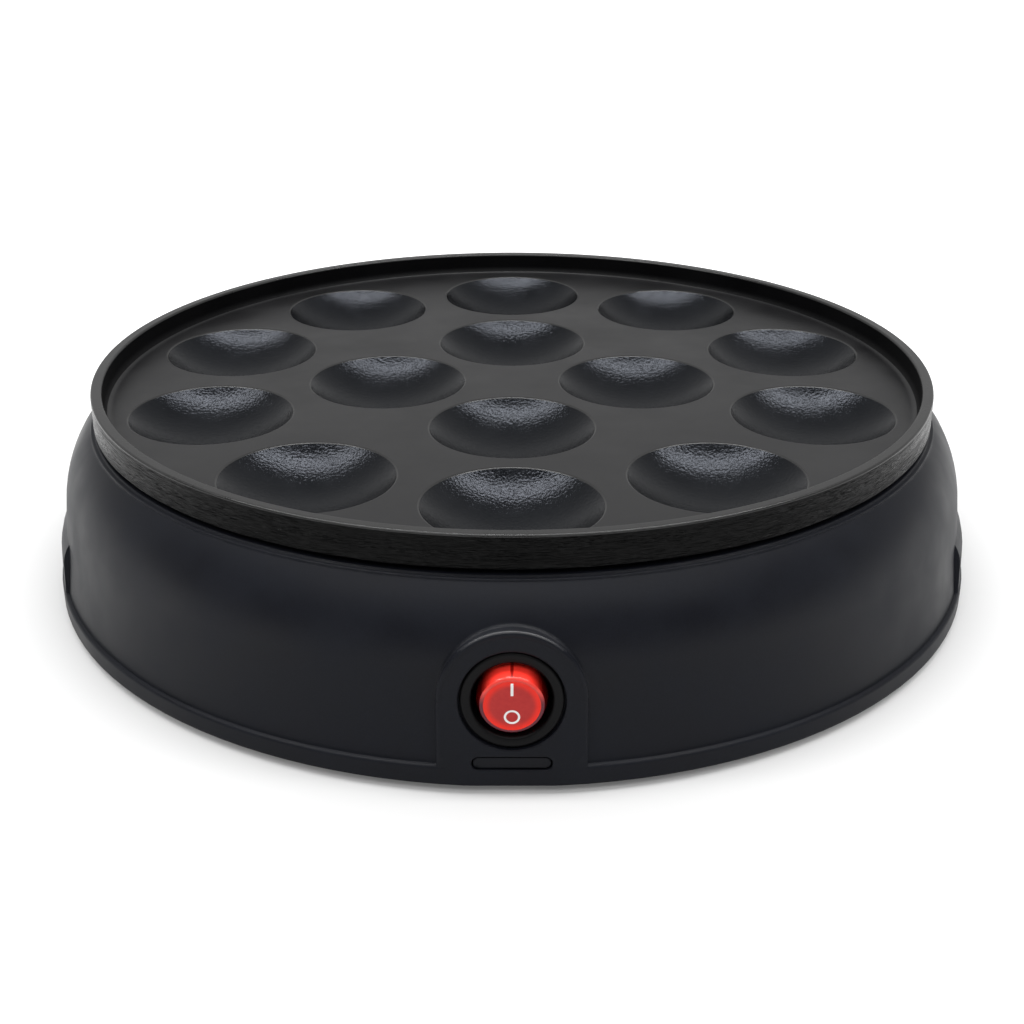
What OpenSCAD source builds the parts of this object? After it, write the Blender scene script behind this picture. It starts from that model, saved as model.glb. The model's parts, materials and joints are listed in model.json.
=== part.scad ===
// Poffertjes maker: a cast baking plate with shallow cups on a round moulded housing.
// Millimetres, +Z up. The origin is on the table under the plate's centre, and the switch faces -Y.

/* [Baking plate] */
// Outer diameter of the plate
plate_d = 231; // [222:1:250]
// Width of the rim, seen from above
rim_w = 3; // [2:0.1:4]
// Height of the rim above the floor
rim_h = 6.4; // [4:0.2:12]
// Depth of the rim's outer wall below the floor
rim_drop = 2.1; // [1:0.1:2.6]
// Rounding where the floor meets the rim
tray_fillet_r = 2.2; // [1:0.1:3]
// Thickness of the floor between the cups
floor_t = 3.2; // [2.8:0.1:4]
// Diameter of a cup at the floor
cup_d = 44; // [38:0.5:46]
// Depth of a cup
cup_depth = 9; // [6:0.5:11]
// Thickness of the metal under a cup
cup_wall = 2.6; // [2:0.1:3.5]
// Width that the bevel adds round a cup's edge
cup_bevel = 0.5; // [0.3:0.1:0.9]
// Flat ring between the outer cups and the rim
cup_margin = 5.7; // [4.5:0.1:8]
// Cups in the outer ring
outer_cups = 10; // [8:2:10]
// Radius of the inner ring of cups
inner_ring_r = 35.2; // [33:0.1:37]
// Cups in the inner ring
inner_cups = 4; // [3:1:4]

/* [Housing] */
// Height of the plate's floor above the housing's bottom edge
body_h = 49; // [47:0.5:60]
// How far the foot band stands out past the plate
flare = 13; // [11:0.5:16]
// Wall thickness of the mouldings
wall = 2.5; // [2:0.1:3]
// Lean of the side wall from the vertical, degrees
wall_lean = 6.2; // [4:0.1:7]
// Radius of the rounded shoulder
shoulder_r = 30; // [24:0.5:36]
// Height of the foot band
band_h = 4.7; // [3:0.1:6]
// How far the foot band stands proud of the side wall
band_out = 1.3; // [0.6:0.1:1.8]
// Shadow gap between the plate's rim and the lip
lip_gap = 1.2; // [0.6:0.1:1.6]
// Height of the stepped bead along the lip
bead_h = 1; // [0.6:0.1:1.2]
// Angle that each hand grip spans, degrees
grip_angle = 41; // [30:1:50]
// Height of a grip's face above the bottom edge
grip_h = 12.5; // [10:0.5:18]
// Radius that rounds a grip's top into the wall
grip_round_r = 10.5; // [8:0.5:16]

/* [Switch boss] */
// Width of the arched boss
boss_w = 33.4; // [31:0.2:38]
// Lean of its flat face from the vertical, degrees
boss_lean = 4.5; // [3:0.1:6]
// Rounding of the boss's front edge
boss_edge_r = 0.8; // [0.5:0.1:2]
// Set-back of the boss's foot behind the foot band
boss_inset = 0.4; // [0:0.1:0.8]
// Height of the switch's centre above the bottom edge
switch_h = 20.6; // [20:0.1:23]
// Width of the catch window under the switch
window_w = 18; // [14:0.5:22]
// Height of the catch window
window_h = 3.3; // [2.6:0.1:3.6]
// Height of the window's centre above the bottom edge
window_z = 5.5; // [5:0.1:6.2]
// Gap between the catch and the window
catch_gap = 0.4; // [0.3:0.05:0.6]

/* [Switch] */
// Diameter of the bezel
bezel_d = 23; // [22:0.1:24]
// Thickness of the bezel
bezel_t = 1.2; // [1:0.1:1.8]
// Gap round the bezel in its recess
bezel_gap = 0.4; // [0.3:0.1:0.8]
// Depth of the recess that takes the bezel
recess_depth = 1.6; // [1:0.1:1.7]
// Diameter of the hole for the switch's barrel
switch_hole_d = 20.2; // [19.6:0.1:20.8]
// Length of the barrel behind the bezel
barrel_l = 13; // [12.6:0.1:16]
// Diameter of the rocker's face
rocker_d = 14.5; // [14:0.1:15]
// How far the level rocker stands out of the bezel
rocker_out = 1.4; // [1.2:0.1:2.4]
// Full throw of the rocker, degrees
rocker_throw = 14; // [8:1:15]
// Full throw of the contact lever, degrees
lever_throw = 10; // [6:1:11]
// Diameter of the rocker's pivot pins
pivot_d = 2.4; // [1.8:0.1:3]

/* [Heater] */
// Diameter of the tubular element
heater_d = 6.6; // [6:0.1:7.6]
// Metal between the element and the plate's floor
heater_top_t = 4.2; // [4:0.1:5]
// Wall on each side of the element's channel
channel_wall = 2.7; // [2:0.1:3]
// Angle left open between the element's ends, degrees
heater_gap = 36; // [34:1:42]
// Bend radius of the element's ends
heater_bend_r = 8; // [7:0.5:9]
// Thickness of the cover under the element
cover_t = 1.2; // [1:0.1:2]
// Diameter of the thermostat's sensing cap
thermostat_d = 16; // [15:0.5:16.5]
// Diameter of the thermal fuse
fuse_d = 4; // [3.4:0.1:4.4]

/* [Heat shield and carriers] */
// Thickness of the heat shield
shield_t = 0.8; // [0.6:0.1:1.2]
// Air gap between what hangs under the plate and the shield
shield_gap = 1.2; // [0.8:0.1:2]
// Diameter of the posts cast under the plate
post_d = 9; // [8:0.1:10]
// Thickness of the housing's carrier lugs
lug_t = 4; // [3:0.1:5]
// Thickness of the insulating washers
washer_t = 1.5; // [1:0.1:2.5]
// Diameter of the screws that hold the plate
plate_screw_d = 4; // [3:0.1:4.5]
// Diameter of the small screws
small_screw_d = 3; // [2.5:0.1:3]

/* [Base] */
// Height of the rubber feet below the housing's edge
foot_h = 2; // [1.5:0.1:5]
// Diameter of a foot
foot_d = 16; // [12:0.5:20]
// Thickness of the base cover
base_t = 2.5; // [2.2:0.1:3]
// Set-back of the base cover above the bottom edge
base_inset = 0.6; // [0.3:0.1:1]
// Gap round the base cover
base_gap = 0.3; // [0.2:0.05:0.5]
// Vent slots in each of the two rings
vents = 24; // [12:2:28]
// Width of a vent slot
vent_w = 3; // [2:0.1:4]

/* [Cord inlet] */
// Bore of the cord gland
cord_hole_d = 6.8; // [6:0.1:7.5]
// Diameter of the gland's collar
gland_d = 16; // [14.5:0.5:18]
// How far the collar stands out of the rear boss
gland_out = 2; // [1.8:0.1:4]
// Height of the gland's centre above the bottom edge
gland_h = 14; // [13:0.5:16]
// Diameter of the wires
wire_d = 2.6; // [2:0.1:3]

/* [Hidden] */
$fn = 96;
// Small overrun that keeps cuts clean
eps = 0.5;
// Clearance of a screw or pin in its hole, on the diameter
hole_fit = 0.1;

// Plate
plate_r = plate_d / 2;
floor_z = foot_h + body_h;
plate_under_z = floor_z - floor_t;
slab_r = plate_r - rim_w - 1.2;
rim_edge_r = 0.6;
outer_ring_r = plate_r - rim_w - cup_margin - cup_d / 2;
cup_ball_r = ((cup_d / 2) ^ 2 + cup_depth ^ 2) / (2 * cup_depth);
cup_ball_z = floor_z - cup_depth + cup_ball_r;
cup_low_z = floor_z - cup_depth - cup_wall;
// Height of the ball that the flat under a cup takes off
cup_flat = 0.25;
// Height of the level spot in the middle of a cup
cup_level = 0.02;
cup_bevel_slope = 22;
bevel_reach = 2;
outer_step = 360 / outer_cups;
inner_step = 360 / inner_cups;
front = -90;
rear = 90;

// Heater under the plate
heater_ring_r = (inner_ring_r + outer_ring_r) / 2;
heater_z = floor_z - heater_top_t - heater_d / 2;
channel_w = heater_d + 2 * channel_wall;
channel_low_z = heater_z - heater_d / 2;
heater_fit = 0.5;
cover_z = channel_low_z - cover_t;
cover_boss_d = small_screw_d + 5;
boss_relief = 0.2;
cover_screw_r = heater_ring_r - channel_w / 2 - 2.5;
cover_screw_l = 8;
heater_leg_l = 5;
heater_pin_d = 3;
heater_pin_l = 8.5;
bead_d = 8;
bead_l = 5;
tab_w = 6.3;
tab_t = 0.8;
tab_l = 8;

// Thermal fuse, clipped by one of the cover's screws
fuse_screw = 1;
fuse_l = 11;
fuse_lead_d = 1;
fuse_lead_l = 9;
clip_t = 0.8;
clip_w = 6;
fuse_offset = 7;
fuse_fit = 0.1;
fuse_z = cover_z - clip_t - fuse_d / 2 - fuse_fit;
fuse_low_z = fuse_z - fuse_d / 2 - fuse_fit - clip_t;

// Heat shield, posts and lugs
shield_top_z = min(cup_low_z, fuse_low_z) - shield_gap;
shield_z = shield_top_z - shield_t;
shield_r = slab_r - 1;
shield_rim_h = 8;
shield_hole_r = 15;
post_r = slab_r - post_d / 2 - 2.6;
post_steps = [1, outer_cups / 2 - 2, outer_cups / 2 + 1, outer_cups - 2];
post_angles = [for (k = post_steps) front + outer_step * (k + 0.5)];
lug_top_z = shield_z - washer_t;
lug_w = 13;
gusset_h = 14;
gusset_t = 2.5;

// Screw heads
head_ratio = 1.9;
head_h_ratio = 0.6;

// Housing
base_r = plate_r + flare;
wall_foot_r = base_r - band_out;
band_top_z = foot_h + band_h;
lip_top_z = floor_z - rim_drop - lip_gap;
shoulder_top_z = lip_top_z - bead_h;
lip_out = 1.9;
shoulder_top_r = plate_r + lip_out;
opening_r = slab_r + 0.6;
bead_w = plate_r - opening_r;
bead_step = 0.9;
// The shoulder's arc is tangent to the leaning wall and ends at the lip
lip_inset = (wall_line_r(shoulder_top_z) - shoulder_top_r) * cos(wall_lean);
arc_rise = sqrt(2 * shoulder_r * lip_inset - lip_inset ^ 2);
lip_along = (shoulder_top_z - band_top_z) / cos(wall_lean) - lip_inset * tan(wall_lean);
arc_start_z = band_top_z + (lip_along - arc_rise) * cos(wall_lean);
arc_start_r = wall_line_r(arc_start_z);
arc_c = [arc_start_r - shoulder_r * cos(wall_lean), arc_start_z - shoulder_r * sin(wall_lean)];

function wall_line_r(z) = wall_foot_r - (z - band_top_z) * tan(wall_lean);

// Base cover and its fastening
base_low_z = foot_h + base_inset;
base_top_z = base_low_z + base_t;
base_disc_r = wall_foot_r - wall - base_gap;
pillar_d = 8.4;
pillar_h = 17;
pillar_r = wall_line_r(base_top_z + pillar_h) - wall / 2 - pillar_d / 2;
pillar_angles = [0, 62, 118, 180];
base_screw_d = 3.5;
base_screw_l = 12;
base_head_d = 7;
base_head_h = 1.4;
foot_inset = 28.5;
foot_ring_r = base_r - foot_inset;
foot_angles = [45, 135, 225, 315];
foot_peg_d = 6;
vent_l = 22;
vent_rings = [35, 72];

// Switch frame: local Z points out of the boss's face, local Y runs up the face
boss_r = boss_w / 2;
boss_depth = 24;
boss_flat_w = boss_w - 2 * boss_edge_r;
band_bite = 0.05;
boss_trim = 0.06;
band_edge_r = 0.8;
grip_inset = 0.15;
switch_z = foot_h + switch_h;
switch_y = -(base_r - boss_inset - switch_h * tan(boss_lean));
bezel_front = bezel_t - recess_depth;
barrel_r = (switch_hole_d - 0.1) / 2;
barrel_in_r = barrel_r - 1.1;
barrel_end = -recess_depth - barrel_l;
barrel_floor_t = 1.3;
wing_w = 6;
wing_l = 7;
wing_out = 1;
wing_gap = 0.2;
rocker_face = bezel_front + rocker_out;
rocker_base_r = rocker_d / 2 + 0.6;
rocker_low = -5.6;
rocker_skin = 1.6;
rocker_edge_r = 0.8;
pivot_at = -3.2;
pivot_fit = 0.05;
pivot_reach = barrel_r - 0.3;
post_bore_r = 1.6;
post_wall = 0.8;
plunger_d = 3;
plunger_top = -3.6;
plunger_tip = -9.4;
lamp_d = 3;
lamp_at = 4.2;
lever_at = -10.4;
lever_t = 0.5;
lever_l = 11;
lever_w = 4;
knuckle_r = 0.75;
knuckle_w = 3.6;
contact_d = 2.4;
contact_h = 0.5;
term_gap = 0.3;
term_w = 4.8;
term_t = 0.8;
term_step = 6;
term_out = 8;
term_end = barrel_end - term_out;
spring_turns = 4;
spring_wire_d = 0.4;
window_y = (window_z - switch_h) / cos(boss_lean);

// Thermostat under the middle of the plate
thermostat_z = plate_under_z - 1.5;
thermostat_cap_h = 4.5;
thermostat_body_h = 6.5;
thermostat_body_d = thermostat_d - 1.2;
thermostat_low_z = thermostat_z - thermostat_cap_h - thermostat_body_h;
ear_t = 0.8;
ear_w = 8;
ear_r = thermostat_d / 2 + 4.5;
ear_angle = front + inner_step / 2;
blade_gap = 7;
blade_l = 7;

// Terminal block and wires
poles = 4;
block_w = 40;
block_l = 17;
block_h = 12;
block_inset = 43.2;
block_y = wall_foot_r - block_inset;
pole_step = 9.5;
pole_hole_d = 3.4;
wire_run_z = base_top_z + block_h / 2;
wire_bend_r = 6;
pole_lead = 5;
earth_lead = 6;
blade_drop = 5;
live_back = 8;
live_turn = 12;
switched_back = 10;
lamp_back = 12;
lamp_turn = 16;
lamp_drop = 20;
lamp_lane = 30;
notch_gap = 3;
earth_inset = 23.3;
earth_r = slab_r - earth_inset;
earth_angle = 155;
tag_d = 8;
tag_t = 0.8;
tag_tail = 10;
earth_screw_l = 6;

// Cord gland
gland_z = foot_h + gland_h;
gland_boss_r = gland_d / 2 + 1.5;
gland_face_y = base_r - 1;
gland_barrel_d = gland_d - 4;
gland_reach = 18.5;
gland_end_y = base_r - gland_reach;
nut_w = gland_d + 1;
nut_t = 4;
nut_y = sqrt((wall_line_r(gland_z + nut_w / 2) - wall) ^ 2 - (nut_w / 2) ^ 2) - nut_t;

// Places that wires and holes share
function polar(r, a) = [r * cos(a), r * sin(a), 0];
function in_switch(p) = [
    p[0],
    switch_y + p[1] * sin(boss_lean) - p[2] * cos(boss_lean),
    switch_z + p[1] * cos(boss_lean) + p[2] * sin(boss_lean)];
function switch_tail(k, back) = in_switch([0, k * term_step, term_end - back]);
notch_w = 2 * (barrel_r + wing_out + notch_gap);
notch_end_y = switch_tail(1, lamp_back)[1] + notch_gap;
function cover_angle(k) = front + inner_step * (k + 0.5);
function leg_at(side, z) = let (a = rear - side * heater_gap / 2)
    polar(heater_ring_r, a) + heater_bend_r * side * [-sin(a), cos(a), 0] + [0, 0, z];
leg_low_z = heater_z - heater_bend_r - heater_leg_l;
tab_low_z = leg_low_z - heater_pin_l - tab_l;
function pole_x(k) = (k - (poles - 1) / 2) * pole_step;
function pole_at(k, side) = [pole_x(k), block_y + side * block_l / 2, wire_run_z];
function blade_at(side) = polar(side * blade_gap / 2, ear_angle + 90)
    + [0, 0, thermostat_low_z - blade_l];
function fuse_end(side) = polar(cover_screw_r - fuse_offset, cover_angle(fuse_screw))
    + (fuse_l / 2 + fuse_lead_l) * side * polar(1, cover_angle(fuse_screw) + 90)
    + [0, 0, fuse_z];

module at_polar(r, a, z) rotate([0, 0, a]) translate([r, 0, z]) children();
module on_switch() translate([0, switch_y, switch_z]) rotate([90 - boss_lean, 0, 0]) children();
module below(z) translate([0, 0, z]) mirror([0, 0, 1]) children();
module rod(p, q, d) {
    v = q - p;
    translate(p) rotate([0, acos(v[2] / norm(v)), atan2(v[1], v[0])]) cylinder(d = d, h = norm(v));
}
module bar(size) translate([-size[0] / 2, -size[1] / 2, 0]) cube(size);
module racetrack(w, h) {
    square([w - h, h], center = true);
    for (s = [-1, 1]) translate([s * (w - h) / 2, 0]) circle(d = h);
}

// Route with each corner rounded over, so that a tube can follow it
function rounded(path, cut, n) = concat([path[0]], [for (i = [1 : len(path) - 2]) let (
    a = path[i - 1] - path[i], b = path[i + 1] - path[i],
    from = path[i] + a / norm(a) * min(cut, norm(a) * 0.45),
    to = path[i] + b / norm(b) * min(cut, norm(b) * 0.45))
    each [for (k = [0 : n]) let (t = k / n)
        (1 - t) ^ 2 * from + 2 * t * (1 - t) * path[i] + t ^ 2 * to]], [path[len(path) - 1]]);

// Closed tube along a route: each ring slides along its stretch to the next corner's mitre plane
module tube(path, d, sides) {
    last = len(path) - 1;
    runs = [for (i = [0 : last - 1]) (path[i + 1] - path[i]) / norm(path[i + 1] - path[i])];
    side_x = abs(runs[0][2]) > 0.9 ? [1, 0, 0] : [0, 0, 1];
    u = cross(runs[0], side_x) / norm(cross(runs[0], side_x));
    v = cross(runs[0], u);
    first = [for (j = [0 : sides - 1]) let (a = 360 * (j + 0.5) / sides)
        path[0] + d / 2 * (u * cos(a) + v * sin(a))];
    points = [for (i = 0, ring = first; i <= last;
        i = i + 1,
        ring = i > last ? ring : let (along = runs[i - 1], across = along + runs[min(i, last - 1)])
            [for (p = ring) p + along * ((path[i] - p) * across) / (along * across)]) each ring];
    skin = [for (i = [0 : last - 1], j = [0 : sides - 1]) let (n = (j + 1) % sides, o = i * sides)
        each [[o + j, o + sides + n, o + n], [o + j, o + sides + j, o + sides + n]]];
    cap_a = [for (j = [1 : sides - 2]) [0, j, j + 1]];
    cap_b = [for (j = [1 : sides - 2]) let (o = last * sides) [o, o + j + 1, o + j]];
    polyhedron(points, concat(skin, cap_a, cap_b));
}

// A pan-head screw that points up, with its head's underside at the origin
module screw(d, l) {
    head_d = d * head_ratio;
    head_h = d * head_h_ratio;
    difference() {
        union() {
            cylinder(d = d, h = l);
            below(0) cylinder(d = head_d, h = head_h);
        }
        below(-head_h / 2) for (a = [0, 90]) rotate(a) bar([head_d * 0.55, d * 0.22, head_h]);
    }
}

// Baking plate
function arc(c, r, from, to, n) = [for (i = [0 : n]) c + r * [cos(from + (to - from) * i / n),
    sin(from + (to - from) * i / n)]];

module plate_profile() {
    rim_in = plate_r - rim_w;
    rim_top = floor_z + rim_h;
    polygon(concat(
        [[0, plate_under_z], [slab_r, plate_under_z], [slab_r, floor_z - rim_drop]],
        arc([plate_r - rim_edge_r, floor_z - rim_drop + rim_edge_r], rim_edge_r, -90, 0, 4),
        arc([plate_r - rim_edge_r, rim_top - rim_edge_r], rim_edge_r, 0, 90, 4),
        arc([rim_in + rim_edge_r, rim_top - rim_edge_r], rim_edge_r, 90, 180, 4),
        arc([rim_in - tray_fillet_r, floor_z + tray_fillet_r], tray_fillet_r, 0, -90, 6),
        [[0, floor_z]]));
}

// Hollow of one cup: a ball that is cut level at the bottom, with a bevelled edge at the floor
module cup_hollow() {
    mouth_r = cup_d / 2 + cup_bevel;
    bevel_rise = tan(cup_bevel_slope);
    intersection() {
        translate([0, 0, cup_ball_z]) sphere(cup_ball_r);
        translate([0, 0, floor_z - cup_depth + cup_level]) cylinder(d = cup_d + 1, h = cup_depth + eps);
    }
    translate([0, 0, floor_z - bevel_reach * bevel_rise])
        cylinder(r1 = mouth_r - bevel_reach, r2 = mouth_r + eps, h = (bevel_reach + eps) * bevel_rise);
}

module each_cup() {
    for (k = [0 : outer_cups - 1]) at_polar(outer_ring_r, front + k * outer_step, 0) children();
    for (k = [0 : inner_cups - 1]) at_polar(inner_ring_r, front + k * inner_step, 0) children();
}

module heater_sweep() {
    rotate([0, 0, rear + heater_gap / 2]) rotate_extrude(angle = 360 - heater_gap) children();
}

module baking_plate() color("#3a3b3d") difference() {
    union() {
        rotate_extrude() plate_profile();
        each_cup() intersection() {
            translate([0, 0, cup_ball_z]) sphere(cup_ball_r + cup_wall + cup_flat);
            translate([0, 0, cup_low_z]) cylinder(r = cup_d, h = plate_under_z + eps - cup_low_z);
        }
        heater_sweep() translate([heater_ring_r - channel_w / 2, channel_low_z])
            square([channel_w, plate_under_z - channel_low_z + eps]);
        for (k = [0 : inner_cups - 1]) at_polar(cover_screw_r, cover_angle(k), channel_low_z + boss_relief)
            cylinder(d = cover_boss_d, h = plate_under_z - channel_low_z + eps - boss_relief);
        for (a = post_angles) at_polar(post_r, a, shield_top_z)
            cylinder(d = post_d, h = plate_under_z - shield_top_z + eps);
        translate([0, 0, thermostat_z])
            cylinder(d = thermostat_d + 1, h = plate_under_z - thermostat_z + eps);
        for (s = [0, 180]) at_polar(ear_r, ear_angle + s, thermostat_z)
            cylinder(d = ear_w, h = plate_under_z - thermostat_z + eps);
    }
    each_cup() cup_hollow();
    heater_sweep() {
        translate([heater_ring_r, heater_z]) circle(d = heater_d + heater_fit);
        translate([heater_ring_r - (heater_d + heater_fit) / 2, channel_low_z - eps])
            square([heater_d + heater_fit, heater_d / 2 + eps]);
    }
    for (k = [0 : inner_cups - 1]) at_polar(cover_screw_r, cover_angle(k), channel_low_z - eps)
        cylinder(d = small_screw_d + hole_fit, h = cover_screw_l - cover_t + eps);
    for (a = post_angles) at_polar(post_r, a, shield_top_z - eps)
        cylinder(d = plate_screw_d + hole_fit, h = plate_under_z - shield_top_z);
    for (s = [0, 180]) at_polar(ear_r, ear_angle + s, thermostat_z - eps)
        cylinder(d = small_screw_d + hole_fit, h = 3 + eps);
}

// Heating element: the ring with both ends bent down, and the cold pins in them
heater_arc = 360 - heater_gap;
heater_ring_steps = 36;
heater_bend_steps = 5;
function leg_path(side) = [for (k = [1 : heater_bend_steps]) let (
    t = 90 * k / heater_bend_steps, a = rear - side * heater_gap / 2)
    polar(heater_ring_r, a) + heater_bend_r * sin(t) * side * [-sin(a), cos(a), 0]
        + [0, 0, heater_z - heater_bend_r * (1 - cos(t))]];
heater_path = concat(
    [leg_at(-1, leg_low_z)],
    [for (k = [heater_bend_steps - 1 : -1 : 0]) leg_path(-1)[k]],
    [for (i = [0 : heater_ring_steps]) polar(heater_ring_r, rear + heater_gap / 2
        + heater_arc * i / heater_ring_steps) + [0, 0, heater_z]],
    leg_path(1),
    [leg_at(1, leg_low_z)]);

module heating_element() color("#6d6f70") {
    tube(heater_path, heater_d, 12);
    for (side = [-1, 1]) translate(leg_at(side, leg_low_z - heater_pin_l))
        cylinder(d = heater_pin_d, h = heater_pin_l + eps);
}

module heater_cover() color("#a9abad") difference() {
    union() {
        heater_sweep() translate([heater_ring_r - channel_w / 2, cover_z]) square([channel_w, cover_t]);
        for (k = [0 : inner_cups - 1]) at_polar(cover_screw_r, cover_angle(k), cover_z)
            cylinder(d = cover_boss_d, h = cover_t);
    }
    for (k = [0 : inner_cups - 1]) at_polar(cover_screw_r, cover_angle(k), cover_z - eps)
        cylinder(d = small_screw_d + hole_fit, h = cover_t + 2 * eps);
}

module cover_screws() color("#c8c9ca")
    for (k = [0 : inner_cups - 1]) at_polar(cover_screw_r, cover_angle(k),
        cover_z - (k == fuse_screw ? clip_t : 0)) screw(small_screw_d, cover_screw_l - 0.5);

module heater_beads() color("#e8e3d6")
    for (side = [-1, 1]) translate(leg_at(side, leg_low_z - bead_l)) difference() {
        cylinder(d = bead_d, h = bead_l);
        translate([0, 0, -eps]) cylinder(d = heater_pin_d + hole_fit, h = bead_l + 2 * eps);
    }

module heater_tabs() color("#c9b06a")
    for (side = [-1, 1]) translate(leg_at(side, tab_low_z)) bar([tab_w, tab_t, tab_l]);

// Thermostat and thermal fuse
module thermostat_cap() color("#b9bbbd") difference() {
    union() {
        translate([0, 0, thermostat_z - thermostat_cap_h]) cylinder(d = thermostat_d, h = thermostat_cap_h);
        translate([0, 0, thermostat_z - ear_t]) rotate(ear_angle)
            linear_extrude(ear_t) racetrack(2 * ear_r + ear_w, ear_w);
    }
    for (s = [0, 180]) at_polar(ear_r, ear_angle + s, thermostat_z - ear_t - eps)
        cylinder(d = small_screw_d + hole_fit, h = ear_t + 2 * eps);
}

module thermostat_body() color("#3d2b22")
    translate([0, 0, thermostat_low_z]) cylinder(d = thermostat_body_d, h = thermostat_body_h);

module thermostat_blades() color("#c9b06a")
    for (side = [-1, 1]) translate(blade_at(side)) rotate(ear_angle) bar([tab_w, tab_t, blade_l]);

module thermostat_screws() color("#c8c9ca")
    for (s = [0, 180]) at_polar(ear_r, ear_angle + s, thermostat_z - ear_t) screw(small_screw_d, ear_t + 2.5);

module thermal_fuse() color("#d9d4c4") {
    rod(fuse_end(-1), fuse_end(1), fuse_lead_d);
    rod(fuse_end(-1) + fuse_lead_l * polar(1, cover_angle(fuse_screw) + 90),
        fuse_end(1) - fuse_lead_l * polar(1, cover_angle(fuse_screw) + 90), fuse_d);
}

module fuse_clip() color("#c8c9ca") at_polar(cover_screw_r, cover_angle(fuse_screw), 0) {
    difference() {
        translate([0, 0, cover_z - clip_t]) union() {
            cylinder(d = cover_boss_d - 1, h = clip_t);
            translate([-fuse_offset, -clip_w / 2, 0]) cube([fuse_offset, clip_w, clip_t]);
        }
        translate([0, 0, cover_z - clip_t - eps])
            cylinder(d = small_screw_d + hole_fit, h = clip_t + 2 * eps);
    }
    translate([-fuse_offset, clip_w / 2, fuse_z]) rotate([90, 0, 0]) rotate([0, 0, 90])
        rotate_extrude(angle = 180) translate([fuse_d / 2 + fuse_fit, 0]) square([clip_t, clip_w]);
}

// Heat shield and its carriers
module heat_shield() color("#b4b6b8") difference() {
    rotate_extrude() polygon([
        [shield_hole_r, shield_z], [shield_r, shield_z], [shield_r, shield_z + shield_rim_h],
        [shield_r - shield_t, shield_z + shield_rim_h], [shield_r - shield_t, shield_top_z],
        [shield_hole_r, shield_top_z]]);
    for (a = post_angles) at_polar(post_r, a, shield_z - eps)
        cylinder(d = plate_screw_d + hole_fit, h = shield_t + 2 * eps);
    for (side = [-1, 1]) translate(leg_at(side, shield_z - eps))
        cylinder(d = heater_d + 4, h = shield_t + 2 * eps);
    at_polar(earth_r, earth_angle, shield_z - eps)
        cylinder(d = plate_screw_d + hole_fit, h = shield_t + 2 * eps);
    for (side = [-1, 1]) translate([fuse_end(side)[0], fuse_end(side)[1], shield_z - eps])
        cylinder(d = wire_d + 3, h = shield_t + 2 * eps);
    // Notch in the front that leaves room for the switch and its wires
    translate([-notch_w / 2, -shield_r - eps, shield_z - eps])
        cube([notch_w, shield_r + notch_end_y, shield_rim_h + 2 * eps]);
}

module insulating_washers() color("#cbbf9c")
    for (a = post_angles) at_polar(post_r, a, lug_top_z) difference() {
        cylinder(d = post_d + 1, h = washer_t);
        translate([0, 0, -eps]) cylinder(d = plate_screw_d + hole_fit, h = washer_t + 2 * eps);
    }

module plate_screws() color("#c8c9ca")
    for (a = post_angles) at_polar(post_r, a, lug_top_z - lug_t)
        screw(plate_screw_d, lug_t + washer_t + shield_t + 7);

// Housing
function shoulder_end(r, z) = asin((z - arc_c[1]) / r);

module wall_profile(inset) {
    r = shoulder_r - inset;
    top_z = shoulder_top_z - inset;
    foot_r = wall_foot_r - inset / cos(wall_lean);
    low_z = foot_h - eps;
    polygon(concat([[0, low_z], [foot_r, low_z], [foot_r, band_top_z]],
        arc(arc_c, r, wall_lean, shoulder_end(r, top_z), 14), [[0, top_z]]));
}

module band_profile() {
    edge = arc([base_r - band_edge_r, band_top_z - band_edge_r], band_edge_r, 0, 90, 5);
    polygon(concat([[0, foot_h - eps], [base_r, foot_h - eps]], edge, [[0, band_top_z]]));
}

module grip_profile() {
    lean = tan(wall_lean / 2);
    face_r = base_r - grip_inset - grip_h * lean;
    inner_r = face_r - grip_round_r;
    polygon(concat([[inner_r, foot_h - eps], [base_r - grip_inset + eps * lean, foot_h - eps]],
        arc([inner_r, foot_h + grip_h], grip_round_r, 0, 75, 8), [[inner_r, foot_h + grip_h]]));
}

// Arched boss: its round top is revolved and its legs are drawn straight down
module arched_boss(r, edge_r, front_at) on_switch() {
    edge = arc([r - edge_r, front_at - edge_r], edge_r, 0, 90, 4);
    edge_left = arc([edge_r - r, front_at - edge_r], edge_r, 90, 180, 4);
    rotate_extrude(angle = 180) polygon(concat([[0, -boss_depth], [r, -boss_depth]], edge, [[0, front_at]]));
    rotate([90, 0, 0]) linear_extrude(switch_h + 6)
        polygon(concat([[-r, -boss_depth], [r, -boss_depth]], edge, edge_left));
}

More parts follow.
